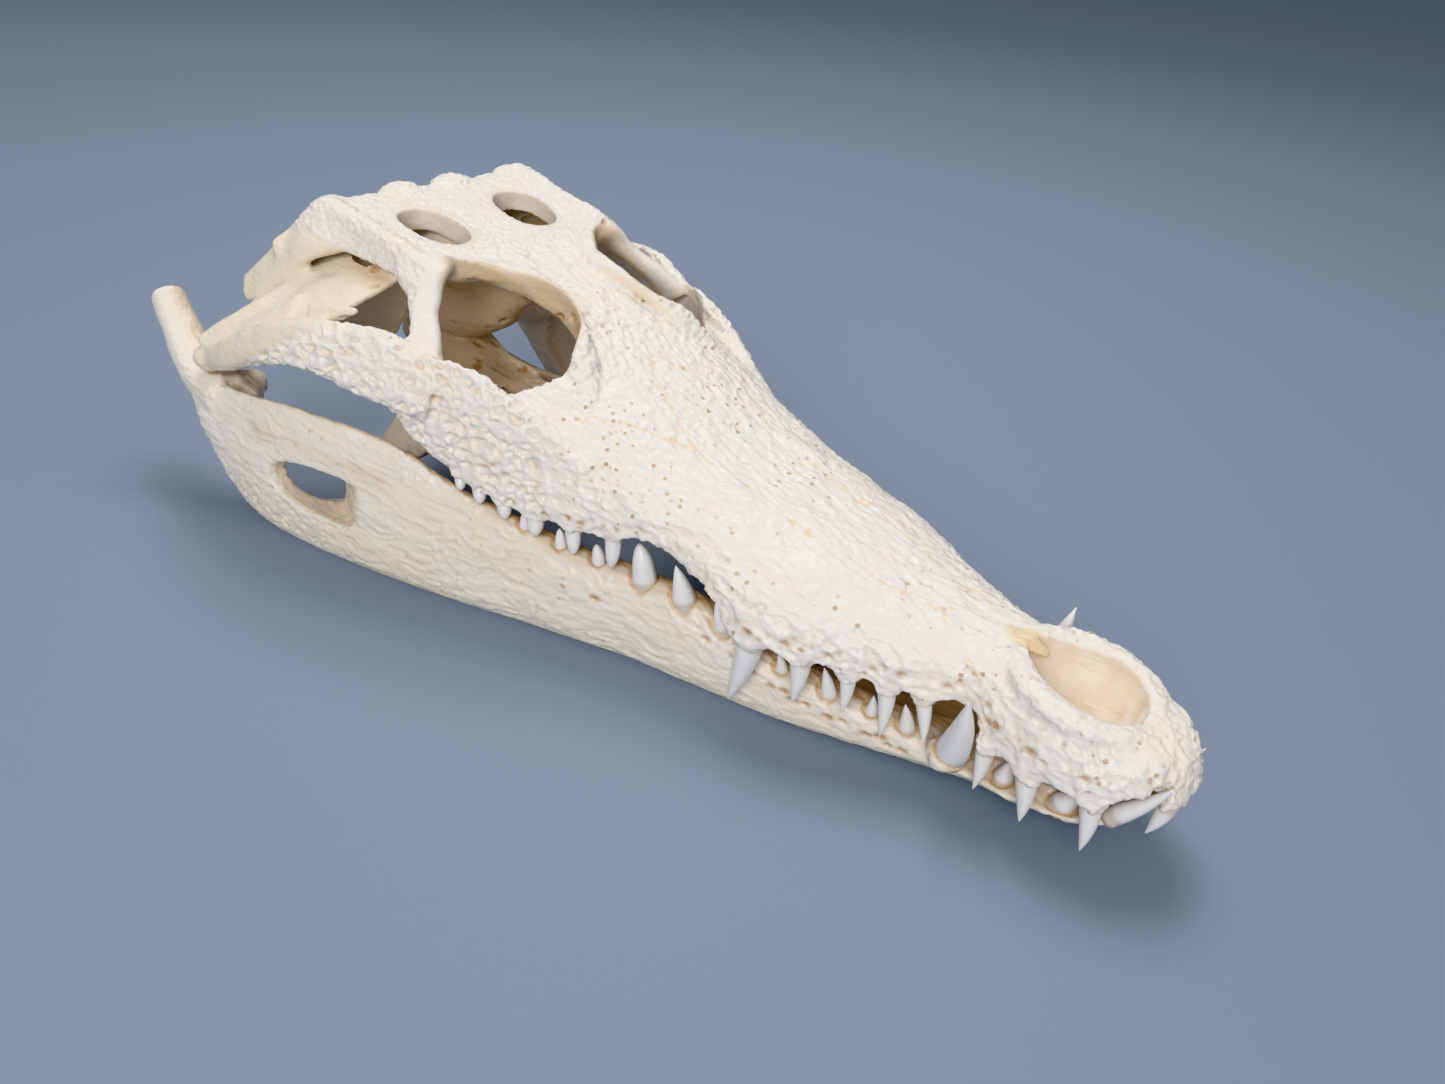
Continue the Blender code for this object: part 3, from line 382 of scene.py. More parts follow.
def snout():
    """The upper jaw from its tip to the fronts of the eye openings, solid, with a vaulted palate."""
    half = 15
    rings = []
    for s in np.concatenate([[0.0, 0.6, 1.5], np.arange(3.0, 178.1, 1.25)]):
        width, edge, top = station(UPPER_JAW, s)
        edge += station(FESTOON, s)[0] * arch(s)
        width += 0.6 * limited(s / 5) * (1 - arch(s))
        vault = edge + 3.0 * limited((s - 3) / 20)
        power = 3.1 - 0.6 * limited((s - 40) / 15) - 0.2 * limited((s - 135) / 20)
        ring = []
        for i in range(2 * half + 1):
            angle = pi * (i / (2 * half) - 0.5)
            u, v = squared(sin(angle), power), squared(cos(angle), power)
            ring.append((width * u, s, edge + (top - edge) * v))
        for i in range(1, 2 * half):
            u = 1 - i / half
            rim = limited((1 - abs(u)) * 5)
            ring.append((width * u, s, edge + (vault - edge) * rim))
        rings.append(ring)
    return mesh_of(rings)


def frontal():
    """The roof between the eye openings, hollowed along its middle, with the raised rims."""
    bridge = sweep([
        (0, 150, 56, 14, 3.4), (0, 162, 63.6, 18, 3.4), (0, 174, 68.8, 14.5, 3.2),
        (0, 186, 73.4, 13.5, 3), (0, 196, 75.6, 17, 3), (0, 208, 78.4, 28, 3.2),
    ], power=3.0)
    rim = sweep([
        (27, 144, 47, 3, 3), (24, 152, 55.4, 3.6, 3.2), (20.5, 159, 62.6, 3.8, 3.4),
        (16.4, 167, 70.6, 3.4, 3), (13.2, 176, 75.4, 3, 2.7), (11.8, 185, 76.8, 2.9, 2.6),
        (13.2, 194, 77.4, 3, 2.6), (21.5, 201, 78.6, 3.6, 2.8), (31, 206, 79.4, 4.2, 3.2),
    ])
    return [bridge], [rim]


def cheek():
    """The jugal: its plate below the eye, the arch to the jaw joint, and the post behind the eye."""
    blade = sweep([
        (31.5, 140, 43.5, 3.2, 5), (35, 150, 45.5, 3.6, 7.8), (38.8, 159, 47.4, 3.6, 10.6),
        (41.4, 166, 49.2, 3.6, 12.4), (43.2, 174, 50.9, 3.6, 13.8), (44.6, 181, 52.6, 3.5, 14),
        (45.6, 187, 54.2, 3.3, 13.4), (46.6, 193, 56.2, 3, 11.4), (47.8, 199, 59.2, 2.6, 8.2),
        (49, 205, 60.6, 2, 5.6),
    ], up=(-0.13, 0, 1), power=2.6)
    bow = sweep([
        (47, 183, 57, 3, 8), (49.4, 192, 59.4, 3.1, 8.6), (52.8, 201, 60.8, 3, 9),
        (56.2, 214, 61, 3, 7.4), (58.6, 227, 59, 3.2, 6.2), (60.4, 241, 54.2, 3.4, 5.6),
        (61.2, 254, 47.8, 3.4, 4.8), (60.8, 264, 43.2, 3.4, 3.8),
    ], up=(-0.4, 0, 0.92), power=2.6)
    bar = sweep([
        (29.5, 209, 79, 4.8, 8), (32.2, 205.8, 76.8, 3.4, 7.2), (34.8, 202.4, 73.4, 2.8, 4.8),
        (38, 198.8, 70, 2.7, 4), (42, 194, 65.5, 2.9, 4.8), (45.5, 191, 60, 3.2, 8),
    ], up=(-0.2, 1, 0.3))
    return [blade, bow], [bar]


def skull_table():
    """The flat roof behind the eyes, dished along its middle, with a lobed rear edge."""
    rings = []
    for s in np.linspace(TABLE[0][0], TABLE[-1][0], 26):
        width, top = station(TABLE, s)
        ring = []
        for u, v in around(48, 5.0):
            dish = 1.2 * (1 - u * u)
            ring.append((width * u, s, top - dish - 3.0 + 3.0 * v))
        rings.append(ring)
    plate = mesh_of(rings)
    lip = sweep([
        (30.6, 204, 78.2, 3.6, 3.4), (31.8, 212, 79.8, 3, 3.4), (31.6, 225, 82, 2.8, 3.2),
        (32.6, 237, 83.6, 3.2, 3.6), (32.6, 247, 84.4, 4.4, 3.8),
    ])
    flange = slab([
        (32.8, 210, 79), (33.6, 248, 83), (35.6, 249, 76.4), (34.4, 211, 75.4),
    ], 2.6)
    lobe = ball((31, 246, 83.8), (6.6, 6.8, 3.6))
    knob = ball((9, 247, 84.6), (7, 5.6, 3.2))
    return [plate], [lip, flange, lobe, knob]


def braincase():
    """The box under the table, the plate round the spinal opening, and the condyle."""
    box = sweep([
        (0, 203, 69.5, 3.5, 5), (0, 209, 68, 6, 8), (0, 217, 66, 8.5, 13.5), (0, 234, 64, 12, 18.5),
        (0, 245, 63.5, 14, 18.5),
    ], power=2.6)
    wall = sweep([
        (-1, 243.5, 71, 3.8, 14), (12, 245, 71, 3.6, 13), (24, 248.5, 71.5, 3.2, 10.5),
        (35, 252.5, 71, 2.8, 8.5), (43, 256.5, 69, 2.2, 6),
    ], power=2.6)
    base = sweep([
        (0, 236, 52, 11, 7), (0, 245, 46, 12, 6), (0, 248, 39, 8.5, 3.2),
    ], up=(0, 1, 0.4))
    condyle = ball((0, 251.5, 55), (5.2, 5, 4.4))
    return [box, base, condyle], [wall]


def joint(grow=0.0):
    """The lower end of the quadrate, which the lower jaw turns on."""
    stem = sweep([
        (37, 245, 67.0, 5.0 + grow, 3.6 + grow), (46, 254, 57.0, 6.4 + grow, 3.8 + grow),
        (53, 262.5, 48.6, 7.2 + grow, 4.0 + grow), (56.6, 268, 43.0, 8.2 + grow, 3.8 + grow),
    ], up=(-0.5, 0.2, 0.8))
    outer = ball((60.6, 267.6, 41.8), (5.0 + grow, 4.8 + grow, 4.2 + grow), turn=20)
    medial = ball((51.5, 270.4, 40.7), (4.8 + grow, 4.8 + grow, 4.2 + grow), turn=20)
    return [stem, outer, medial]


def quadrate():
    """The plates from under the table out to the jaw joint, and the prong behind them."""
    plate = slab([
        (27, 214, 76), (27, 247, 76.5), (59, 271, 43.5), (53, 220, 65.5),
    ], 4.8, bulge=-0.5, thin=0.4)
    side = slab([
        (45.5, 239, 65), (57.5, 270, 45), (61.6, 264, 41.8), (59.4, 229, 56.5),
    ], 5.0, bulge=-1.2)
    back = slab([(12, 228, 74), (17.5, 241, 47), (47, 262, 42.5), (32, 242, 74)], 3.4)
    spine = sweep([
        (51.5, 228, 65, 1.8, 3), (49.5, 220, 67.2, 1.4, 2.4), (46.8, 213.5, 69.2, 0.7, 0.8),
    ], rings=10)
    prong = sweep([
        (32, 236, 82, 3, 6), (37.2, 245.5, 79.2, 2.8, 7.4), (40.6, 253.5, 71.8, 2.6, 6.6),
        (44, 262.5, 63.2, 2.5, 5.4), (45.8, 268.8, 58.2, 2.3, 4.2),
    ], up=(0.5, -0.25, -0.83), power=3.0)
    return [plate, side, back, spine, prong] + joint()


def palate():
    """The pterygoid wings, the struts to the cheeks, and the bar along the middle."""
    bar = sweep([
        (0, 138, 41.5, 10, 3.5), (0, 152, 40, 8, 4), (0, 170, 37.6, 5.6, 3), (0, 190, 37.4, 5.4, 2.8),
        (0, 212, 38.4, 6.4, 2.8), (0, 228, 42, 8.4, 4), (0, 244, 45.5, 9.5, 6),
    ], power=2.8)
    wing = slab([(4, 205, 40.5), (5, 234, 42), (36, 228, 20.5), (35, 208, 26)], 3, bulge=1.5)
    strut = sweep([
        (41, 166, 42, 3.6, 4), (36.6, 180, 41.5, 2.6, 3.8), (35.2, 196, 37.5, 2.4, 4.2),
        (34.5, 212, 29, 2.2, 6),
    ], up=(-0.4, 0, 0.9))
    return [bar], [wing, strut]


def hollows():
    """The eye openings, the space behind and below them, and the windows in the palate."""
    orbit = well(egg(*ORBIT), 40, 96, lean=1)
    rings = []
    for s in np.linspace(CAVITY[0][0], CAVITY[-1][0], 25):
        width, low, high = station(CAVITY, s)
        rings.append([
            (width * u, s, (low + high) / 2 + (high - low) / 2 * v) for u, v in around(40, 3.0)
        ])
    slot = well(egg((21.0, 162), 9.5, 25.0, 0.2, -6), 20, 50)
    return both([orbit, slot]) + [mesh_of(rings)]


def openings():
    """The holes with crisp rims, cut last: nostril, temporal windows and spinal opening."""
    nostril = sweep([(0, s, NOSTRIL_HEIGHT, wide, high) for s, wide, high in NOSTRIL], power=2.0)
    cleft = ball((0, -1.4, 24), (1.3, 3.2, 7))
    window = well(egg(*TEMPLE), 64, 96, lean=1)
    funnel = ball((TEMPLE[0][0] + 1, TEMPLE[0][1], 89), (9.2, 13.2, 8))
    ear = ball((29.4, 230, 73.6), (5, 10, 3.2))
    spinal = ball((0, 249, 66.4), (5.8, 12, 4.9))
    return [nostril, cleft, spinal] + both([window, funnel, ear])


def collars():
    """The swellings of the upper jaw round the roots of its teeth."""
    return [
        ball((base[0] - 0.3, base[1], base[2] + 1.6), (radius + 1.1, radius + 1.2, 2.8))
        for base, tip, radius in upper_spots()[1:]
    ]


def nostril_rim():
    """The left half of the raised rim round the nostril."""
    return sweep([
        (-1, 11.6, 31.2, 1.8, 1.4), (7.4, 14.2, 31.9, 2.6, 1.8), (12, 20.4, 32.8, 3.6, 2.3),
        (13.2, 28, 33.9, 3.9, 2.5), (11, 35.5, 34.9, 3.4, 2.3), (6.4, 40.6, 36, 2.8, 1.9),
        (-1, 43.2, 36.6, 2, 1.2),
    ], power=2.0)


def nasal_spine():
    """The thin tip of the nasal bones, which reaches into the nostril from the rear."""
    return sweep([
        (0, 47, 36.6, 3, 1.2), (0, 42, 36.6, 2.8, 1.1), (0, 39, 36.2, 2, 0.9),
        (0, 36.6, 35.6, 0.8, 0.7),
    ])


def cranium():
    """The whole upper skull, without teeth."""
    middle, sides = frontal()
    ridge = sweep([
        (16, 92, 36.5, 6, 3), (15, 104, 41.2, 6.5, 4), (13.5, 114, 44.8, 6.5, 4.4),
        (13, 126, 47.8, 6.5, 4), (13, 144, 54, 6, 3),
    ])
    plates, posts = cheek()
    outer = [snout()] + middle + both(sides + plates + [ridge, nostril_rim()] + collars())
    obj = fused(joined("cranium", outer))
    boolean(obj, hollows())
    inner = []
    for middle, sides in (skull_table(), braincase(), ([], quadrate()), palate(), ([], posts)):
        inner += middle + both(sides)
    obj = fused(joined("cranium", [obj.data] + inner))
    softened(obj, SMOOTH_SPREAD)
    boolean(obj, openings() + both(tooth_gaps()))
    boolean(obj, [nasal_spine()], "UNION")
    return softened(fused(obj), 1.0)


def ramus():
    """The left half of the lower jaw, with the socket for the skull and the heel behind it."""
    rings = []
    for s in np.concatenate([[6.5, 7.5, 8.5], np.arange(10.0, 276.1, 3.0)]):
        x, half, low, high = station(RAMUS, s)
        rear = limited((s - 140) / 45)
        fall = station(CHIN_FALL, s)[0]
        ring = []
        for u, v in around(32, 2.7):
            z = (low + high) / 2 + (high - low) / 2 * v - fall * max(0.0, u) * max(0.0, v)
            crest = 0.62 * rear * max(0.0, v) ** 1.5
            across = x + half * (u * (1 - crest) + 0.55 * crest) - 0.05 * rear * (z - low)
            ring.append((max(-0.6, across), s, z))
        rings.append(ring)
    body = mesh_of(rings)
    heel = sweep([
        (58.5, 262, 31.5, 8, 6), (58.2, 275, 32.2, 7, 5.8), (57.4, 285, 36.6, 5.9, 5.2),
        (56, 294, 43.6, 5.2, 4.7), (54.6, 301, 49.5, 4.8, 4.2),
    ], up=(0, -0.5, 0.87))
    shelf = sweep([
        (60, 256, 32, 6, 4), (52, 266, 31, 5, 4.2), (47, 270, 30, 3.5, 3.5),
    ])
    inner = sweep([
        (3, 40, 6.8, 7, 2.8), (5, 60, 6.4, 7, 2.8), (9, 78, 6.4, 6, 2.6), (16, 94, 7.5, 4, 2),
    ])
    socket = ball((16.4, 46.6, 11.4), (5.3, 5, 3.8))
    return [body, heel, shelf, inner, socket]


def jaw_hollows():
    """The fossa, open at the top and toward the middle, and the window through the outer wall."""
    fossa = sweep([
        (50, 213, 26, 2.5, 6), (50.6, 217.5, 25.5, 7.4, 10), (52, 223, 25, 7.6, 12.4),
        (53, 236, 23.5, 7.5, 14.5), (54.5, 248, 25, 6, 11), (56, 256, 28, 2, 4),
    ], power=2.4)
    window = sweep([
        (55.8, 213, 19.5, 18.6, 6.8), (74, 219, 21.5, 18.6, 6.8),
    ], up=(0, 0.05, 1), rings=4)
    return [fossa, window]


def floor():
    """A block below the floor, which cuts the flats that the jaw rests on."""
    return well([(-90, -20), (90, -20), (90, 330), (-90, 330)], -20, 0)


def jaw():
    """Both halves of the lower jaw, joined at the chin, without teeth."""
    obj = fused(joined("jaw", both(ramus())))
    boolean(obj, both(jaw_hollows()))
    softened(fused(obj), SMOOTH_SPREAD * 0.6)
    boolean(obj, both(joint(JOINT_ROOM)))
    return softened(fused(obj), 1.0)


def spike(base, tip, radius, grow):
    """A cutter shaped as a slender tooth, bowed a little, and grown on all sides."""
    base, tip = Vector(base), Vector(tip)
    ahead = (tip - base).normalized()
    bow = Vector((0, -1, 0)) * (TOOTH_BOW * (tip - base).length)
    places = [(base - ahead * CUTTER_ROOT, 0.9)]
    places += [(base.lerp(tip, share) + bow * sin(pi * share), size) for share, size in SHARP_CROWN]
    stations = [(*place, radius * size + grow, radius * size + grow) for place, size in places]
    return sweep(stations, up=(0.3, 1, 0.2), power=2.0, sides=12, rings=6)


def upper_spots():
    """Base, tip and radius of the upper teeth of the left side."""
    spots = []
    for s, inset, tip, radius, lean in UPPER_TEETH:
        width, edge, top = station(UPPER_JAW, s)
        x, z = width - inset, edge + 0.5
        spots.append(((x, s + 0.4, z), (x + 1.2, s + lean, tip), radius))
    return spots


def lower_spots():
    """Base, tip and radius of the lower teeth of the left side."""
    spots = []
    for s, out, depth, tip, radius, back, spread in LOWER_TEETH:
        middle, half, low, high = station(RAMUS, s)
        x, z = middle + out, high - depth
        spots.append(((x, s, z), (x + spread, s + back, tip), radius))
    return spots


def tooth_gaps():
    """The pit for the first lower tooth, and room beside the notch for the fourth."""
    spots = lower_spots()
    base, tip, radius = spots[0]
    out = Vector((1.2, 0, 0))
    beyond = Vector(tip) + (Vector(tip) - Vector(base)).normalized() * 5
    return [spike(Vector(base) + out, beyond + out, radius * 1.15, grow=1.5), spike(*spots[3], grow=0.7)]


def ramp(low, high, value):
    """From 0 at low to 1 at high, with soft ends."""
    t = limited((value - low) / (high - low))
    return t * t * (3 - 2 * t)


# Whole numbers that mix a place and a seed into a number that looks random
PLACE_MIX = (73856093, 19349663, 83492791)
SEED_MIX = 2654435
LOW_BITS = 0xFFFFFFFF


def lattice(cell, seed):
    """A repeatable random number from 0 to 1 for each whole-numbered place."""
    a, b, c = (cell * PLACE_MIX).T
    mixed = a ^ b ^ c ^ seed * SEED_MIX
    mixed = (mixed & LOW_BITS) * 1103515245 + 12345
    mixed = ((mixed >> 11) ^ mixed) & LOW_BITS
    mixed = mixed * 69069 + 1
    return ((mixed >> 9) & 0xFFFF) / 65535.0


def noise(place, seed):
    """Smooth noise from -1 to 1, about one bump to a unit."""
    cell = np.floor(place).astype(np.int64)
    part = place - cell
    part = part * part * (3 - 2 * part)
    total = np.zeros(len(place))
    for corner in itertools.product((0, 1), repeat=3):
        weight = np.ones(len(place))
        for axis, far in enumerate(corner):
            weight *= part[:, axis] if far else 1 - part[:, axis]
        total += weight * lattice(cell + np.array(corner), seed)
    return 2 * total - 1


# Layered noise: how many layers, how much finer each is, and what their sum is divided by
NOISE_LAYERS = 3
FINER = 2.03
LAYERED_RANGE = 1.6


def layered(place, spacing, seed):
    """Noise with finer noise on it, its largest bumps a spacing apart."""
    total = np.zeros(len(place))
    for layer in range(NOISE_LAYERS):
        total += noise(place / spacing * FINER**layer, seed + layer) / 2**layer
    return total / LAYERED_RANGE


def swirled(place, size, amount, seed):
    """The places pushed about by noise of that size, so that what is drawn on them winds."""
    shift = [noise(place / size, seed + k) for k in range(3)]
    return place + amount * np.stack(shift, axis=1)


RIDGE_WIDTH = 0.55
RIDGE_TOP = 0.55


def ridges(place, push, spacing, seed):
    """Thin winding lines: RIDGE_TOP on a line, and 1 less than that between them."""
    return RIDGE_TOP - limited(np.abs(noise(swirled(place, *push) / spacing, seed)) / RIDGE_WIDTH)


def cells(place, push, spacing, seed):
    """Distances to the nearest and next of points scattered one to a cell, and the nearest's number."""
    place = swirled(place, *push) / spacing
    cell = np.floor(place).astype(np.int64)
    first = np.full(len(place), 9.0)
    second = first.copy()
    number = np.zeros(len(place))
    for step in itertools.product((-1, 0, 1), repeat=3):
        spot = cell + np.array(step)
        rolls = [lattice(spot, seed + k) for k in (11, 23, 37)]
        away = np.linalg.norm(place - spot - np.stack(rolls, axis=1), axis=1)
        nearer = away < first
        second = np.where(nearer, first, np.minimum(second, away))
        number = np.where(nearer, rolls[0], number)
        first = np.where(nearer, away, first)
    return first, second, number


def read(obj):
    """Places of an object's vertices in (x, s, z) millimetres, and their normals."""
    mesh = obj.data
    place = np.empty(len(mesh.vertices) * 3, np.float32)
    mesh.vertices.foreach_get("co", place)
    normal = np.empty(len(mesh.vertices) * 3, np.float32)
    mesh.vertices.foreach_get("normal", normal)
    place = place.reshape(-1, 3).astype(float) / MM
    place[:, 1] += MIDDLE
    return place, normal.reshape(-1, 3).astype(float)


def folded(place):
    """The places, those of the right side mirrored to the left."""
    return np.hstack([np.abs(place[:, :1]), place[:, 1:]])


def moved(obj, place, normal, lift):
    """The object with its vertices lifted along their normals by millimetres."""
    place = place + normal * lift[:, None]
    place[:, 1] -= MIDDLE
    obj.data.vertices.foreach_set("co", (place * MM).astype(np.float32).ravel())
    obj.data.update()
    return obj


def marked(obj, **marks):
    """The object with a number at each vertex for each mark, which its material reads."""
    for name, values in marks.items():
        attribute = obj.data.attributes.new(name, "FLOAT", "POINT")
        attribute.data.foreach_set("value", values.astype(np.float32))
    return obj


def reach(x, s, centre, half_x, half_s, narrow, turn):
    """1 on the outline of an egg in plan, less inside it and more outside."""
    across, along = turned(x - centre[0], s - centre[1], -turn)
    along = along / half_s
    across = across / (half_x * (1 + narrow * np.clip(along, -1.5, 1.5)))
    return (np.abs(across) ** EGG_POWER + np.abs(along) ** EGG_POWER) ** (1 / EGG_POWER)


def near_line(place, corners):
    """Distance from each place to a line through corners, all in (x, s) or (x, s, z)."""
    best = np.full(len(place), 99.0)
    for a, b in zip(corners, corners[1:]):
        a, b = np.array(a, float), np.array(b, float)
        share = limited((place - a) @ (b - a) / ((b - a) @ (b - a)))
        best = np.minimum(best, np.linalg.norm(place - a - share[:, None] * (b - a), axis=1))
    return best


def holes(place, spots, long):
    """Depth from 0 to 1 of small openings at spots (x, s, z, radius), long times as long as high."""
    depth = np.zeros(len(place))
    for x, s, z, radius in spots:
        near = np.abs(place[:, 1] - s) < 4 * radius
        away = (place[near] - (x, s, z)) / (radius, radius * long, radius)
        depth[near] = np.maximum(depth[near], np.exp(-np.sum(away * away, axis=1) * 0.8))
    return depth


# The middle of the post behind the eye opening, and the hollow under the table behind it: middle
# and half sizes, all in (x, s, z)
EYE_POST = (
    (29.5, 209, 79), (34.8, 202.4, 73.4), (38, 198.8, 70), (42, 194, 65.5), (45.5, 191, 60),
)
EAR = ((29, 223, 69.5), (9, 16, 7.5))


def regions(place, normal):
    """How much each vertex of the upper skull belongs to each part of its surface, from 0 to 1."""
    x, s, z = place.T
    side = np.abs(x)
    half = folded(place)
    along, wide, high = np.array(NOSTRIL).T
    basin = np.hypot(x / np.interp(s, along, wide), (z - NOSTRIL_HEIGHT) / np.interp(s, along, high))
    basin = np.where((s > along[0] - 0.5) & (s < along[-1] + 0.5), basin, 9.0)
    eye = reach(side, s, *ORBIT)
    temple = np.where(z > 70, reach(side, s, *TEMPLE), 2.0)
    open_skin = ramp(1.02, 1.22, basin) * ramp(1.0, 1.05, eye) * ramp(1.1, 1.25, temple)
    facing = np.maximum(normal[:, 2], normal[:, 0] * np.sign(x))
    post = ramp(5.0, 8.0, near_line(half, EYE_POST))
    below_plate = 70.0 - 0.695 * (s - 212) - z
    cheek = ramp(34, 41, side) * ramp(136, 160, s) * ramp(-1.5, 1.5, below_plate) * ramp(251, 238, s)
    roof = ramp(199, 206, s) * ramp(-2.5, 0.5, z - 74 - 0.15 * (s - 203.5)) * (1 - cheek)
    brow = ramp(148, 168, s) * ramp(206, 199, s) * ramp(0.1, 0.5, normal[:, 2]) * (1 - cheek)
    face = ramp(38, 48, s) * ramp(172, 150, s) * (1 - cheek)
    tip = ramp(48, 38, s)
    smooth = limited(1 - cheek - roof - brow - face - tip)
    ear = np.linalg.norm((half - EAR[0]) / EAR[1], axis=1)
    return {
        "basin": ramp(1.06, 1.0, basin),
        "temple": ramp(1.3, 1.1, temple),
        "eye": ramp(1.05, 0.98, eye) * post,
        "outside": ramp(-0.05, 0.35, facing) * open_skin * ramp(0.0, 1.0, z - 15),
        "ear": ramp(1.4, 0.8, ear) * smooth,
        "inner": ramp(18, 14, side) * ramp(194, 202, s) * ramp(74, 71, z),
        "cheek": cheek, "roof": roof, "brow": brow, "face": face, "tip": tip, "smooth": smooth,
    }


# Seams between bones seen from above, left side: x, s
SUTURES = (
    ((-1, 55), (-6, 60), (-9, 72), (-11, 90), (-11, 112), (-13, 128)),
    ((-15.5, 41), (-13.5, 46), (-12, 52), (-9, 57), (-6, 60)),
    ((-13, 128), (-18, 136), (-24, 146), (-30, 152)),
    ((-13, 128), (-9, 140), (-5, 150), (0, 156)),
)


def scattered(count, start, end, rows):
    """Places spread without a pattern: from start to end, over the rows, and a size from 0 to 1."""
    golden = 0.618034
    return [
        (start + (end - start) * (number * golden % 1), rows * (number * 0.377 % 1), number * 0.731 % 1)
        for number in range(count)
    ]


def margin_openings():
    """Small openings over the tooth row of the upper jaw, on both sides: x, s, z, radius."""
    spots = []
    for at, rise, share in scattered(62, 3.0, 168.0, 8.0):
        width, edge, top = station(UPPER_JAW, at)
        out, high, radius = width + 0.6 - 0.06 * rise, edge + 3.4 + rise, 0.36 + 0.3 * share
        spots += [(out, at, high, radius), (-out, at, high, radius)]
    return spots


# Patterns on the upper skull: size, amount and seed of the noise that pushes them about, then the
# spacing of their lines or cells along x, s and z in millimetres, and their own seed
UPPER_LINES = {
    "wrinkle": ((5.0, 2.0, 40), (1.9, 5.4, 1.9), 5),
    "thread": ((5.0, 2.0, 40), (1.0, 2.4, 1.0), 6),
    "curl": ((5.0, 2.0, 40), (2.7, 4.0, 2.7), 7),
    "strand": ((10.0, 1.8, 44), (1.4, 14.0, 1.4), 12),
}
UPPER_CELLS = {
    "comb": ((4.5, 1.5, 46), (2.7, 4.0, 2.5), 8),
    "nook": ((4.5, 1.5, 46), (1.8, 2.3, 1.7), 18),
    "small": ((4.0, 0.9, 48), (2.1, 2.1, 2.1), 9),
    "sparse": ((2.0, 0.7, 49), (2.2, 3.2, 2.2), 10),
    "cave": ((5.0, 1.5, 52), (6.0, 8.0, 5.0), 24),
}

# How high each pattern stands on each part of the upper skull, in millimetres
RELIEF = {
    "flank": {"wrinkle": 0.66, "thread": 0.32},
    "back": {"strand": 0.42},
    "face": {"lumpy": 0.16},
    "rough": {"dent": -0.45},
    "tip": {"curl": 0.62, "thread": 0.34, "dent": -0.4},
    "cheek": {"wrinkle": 0.3, "lumpy": 0.25, "bowl": -2.0, "dent": -0.3},
    "roof": {"thread": 0.28, "lumpy": 0.2, "dimple": -0.9},
    "brow": {"strand": 0.55, "thread": 0.3, "dent": -0.5},
}


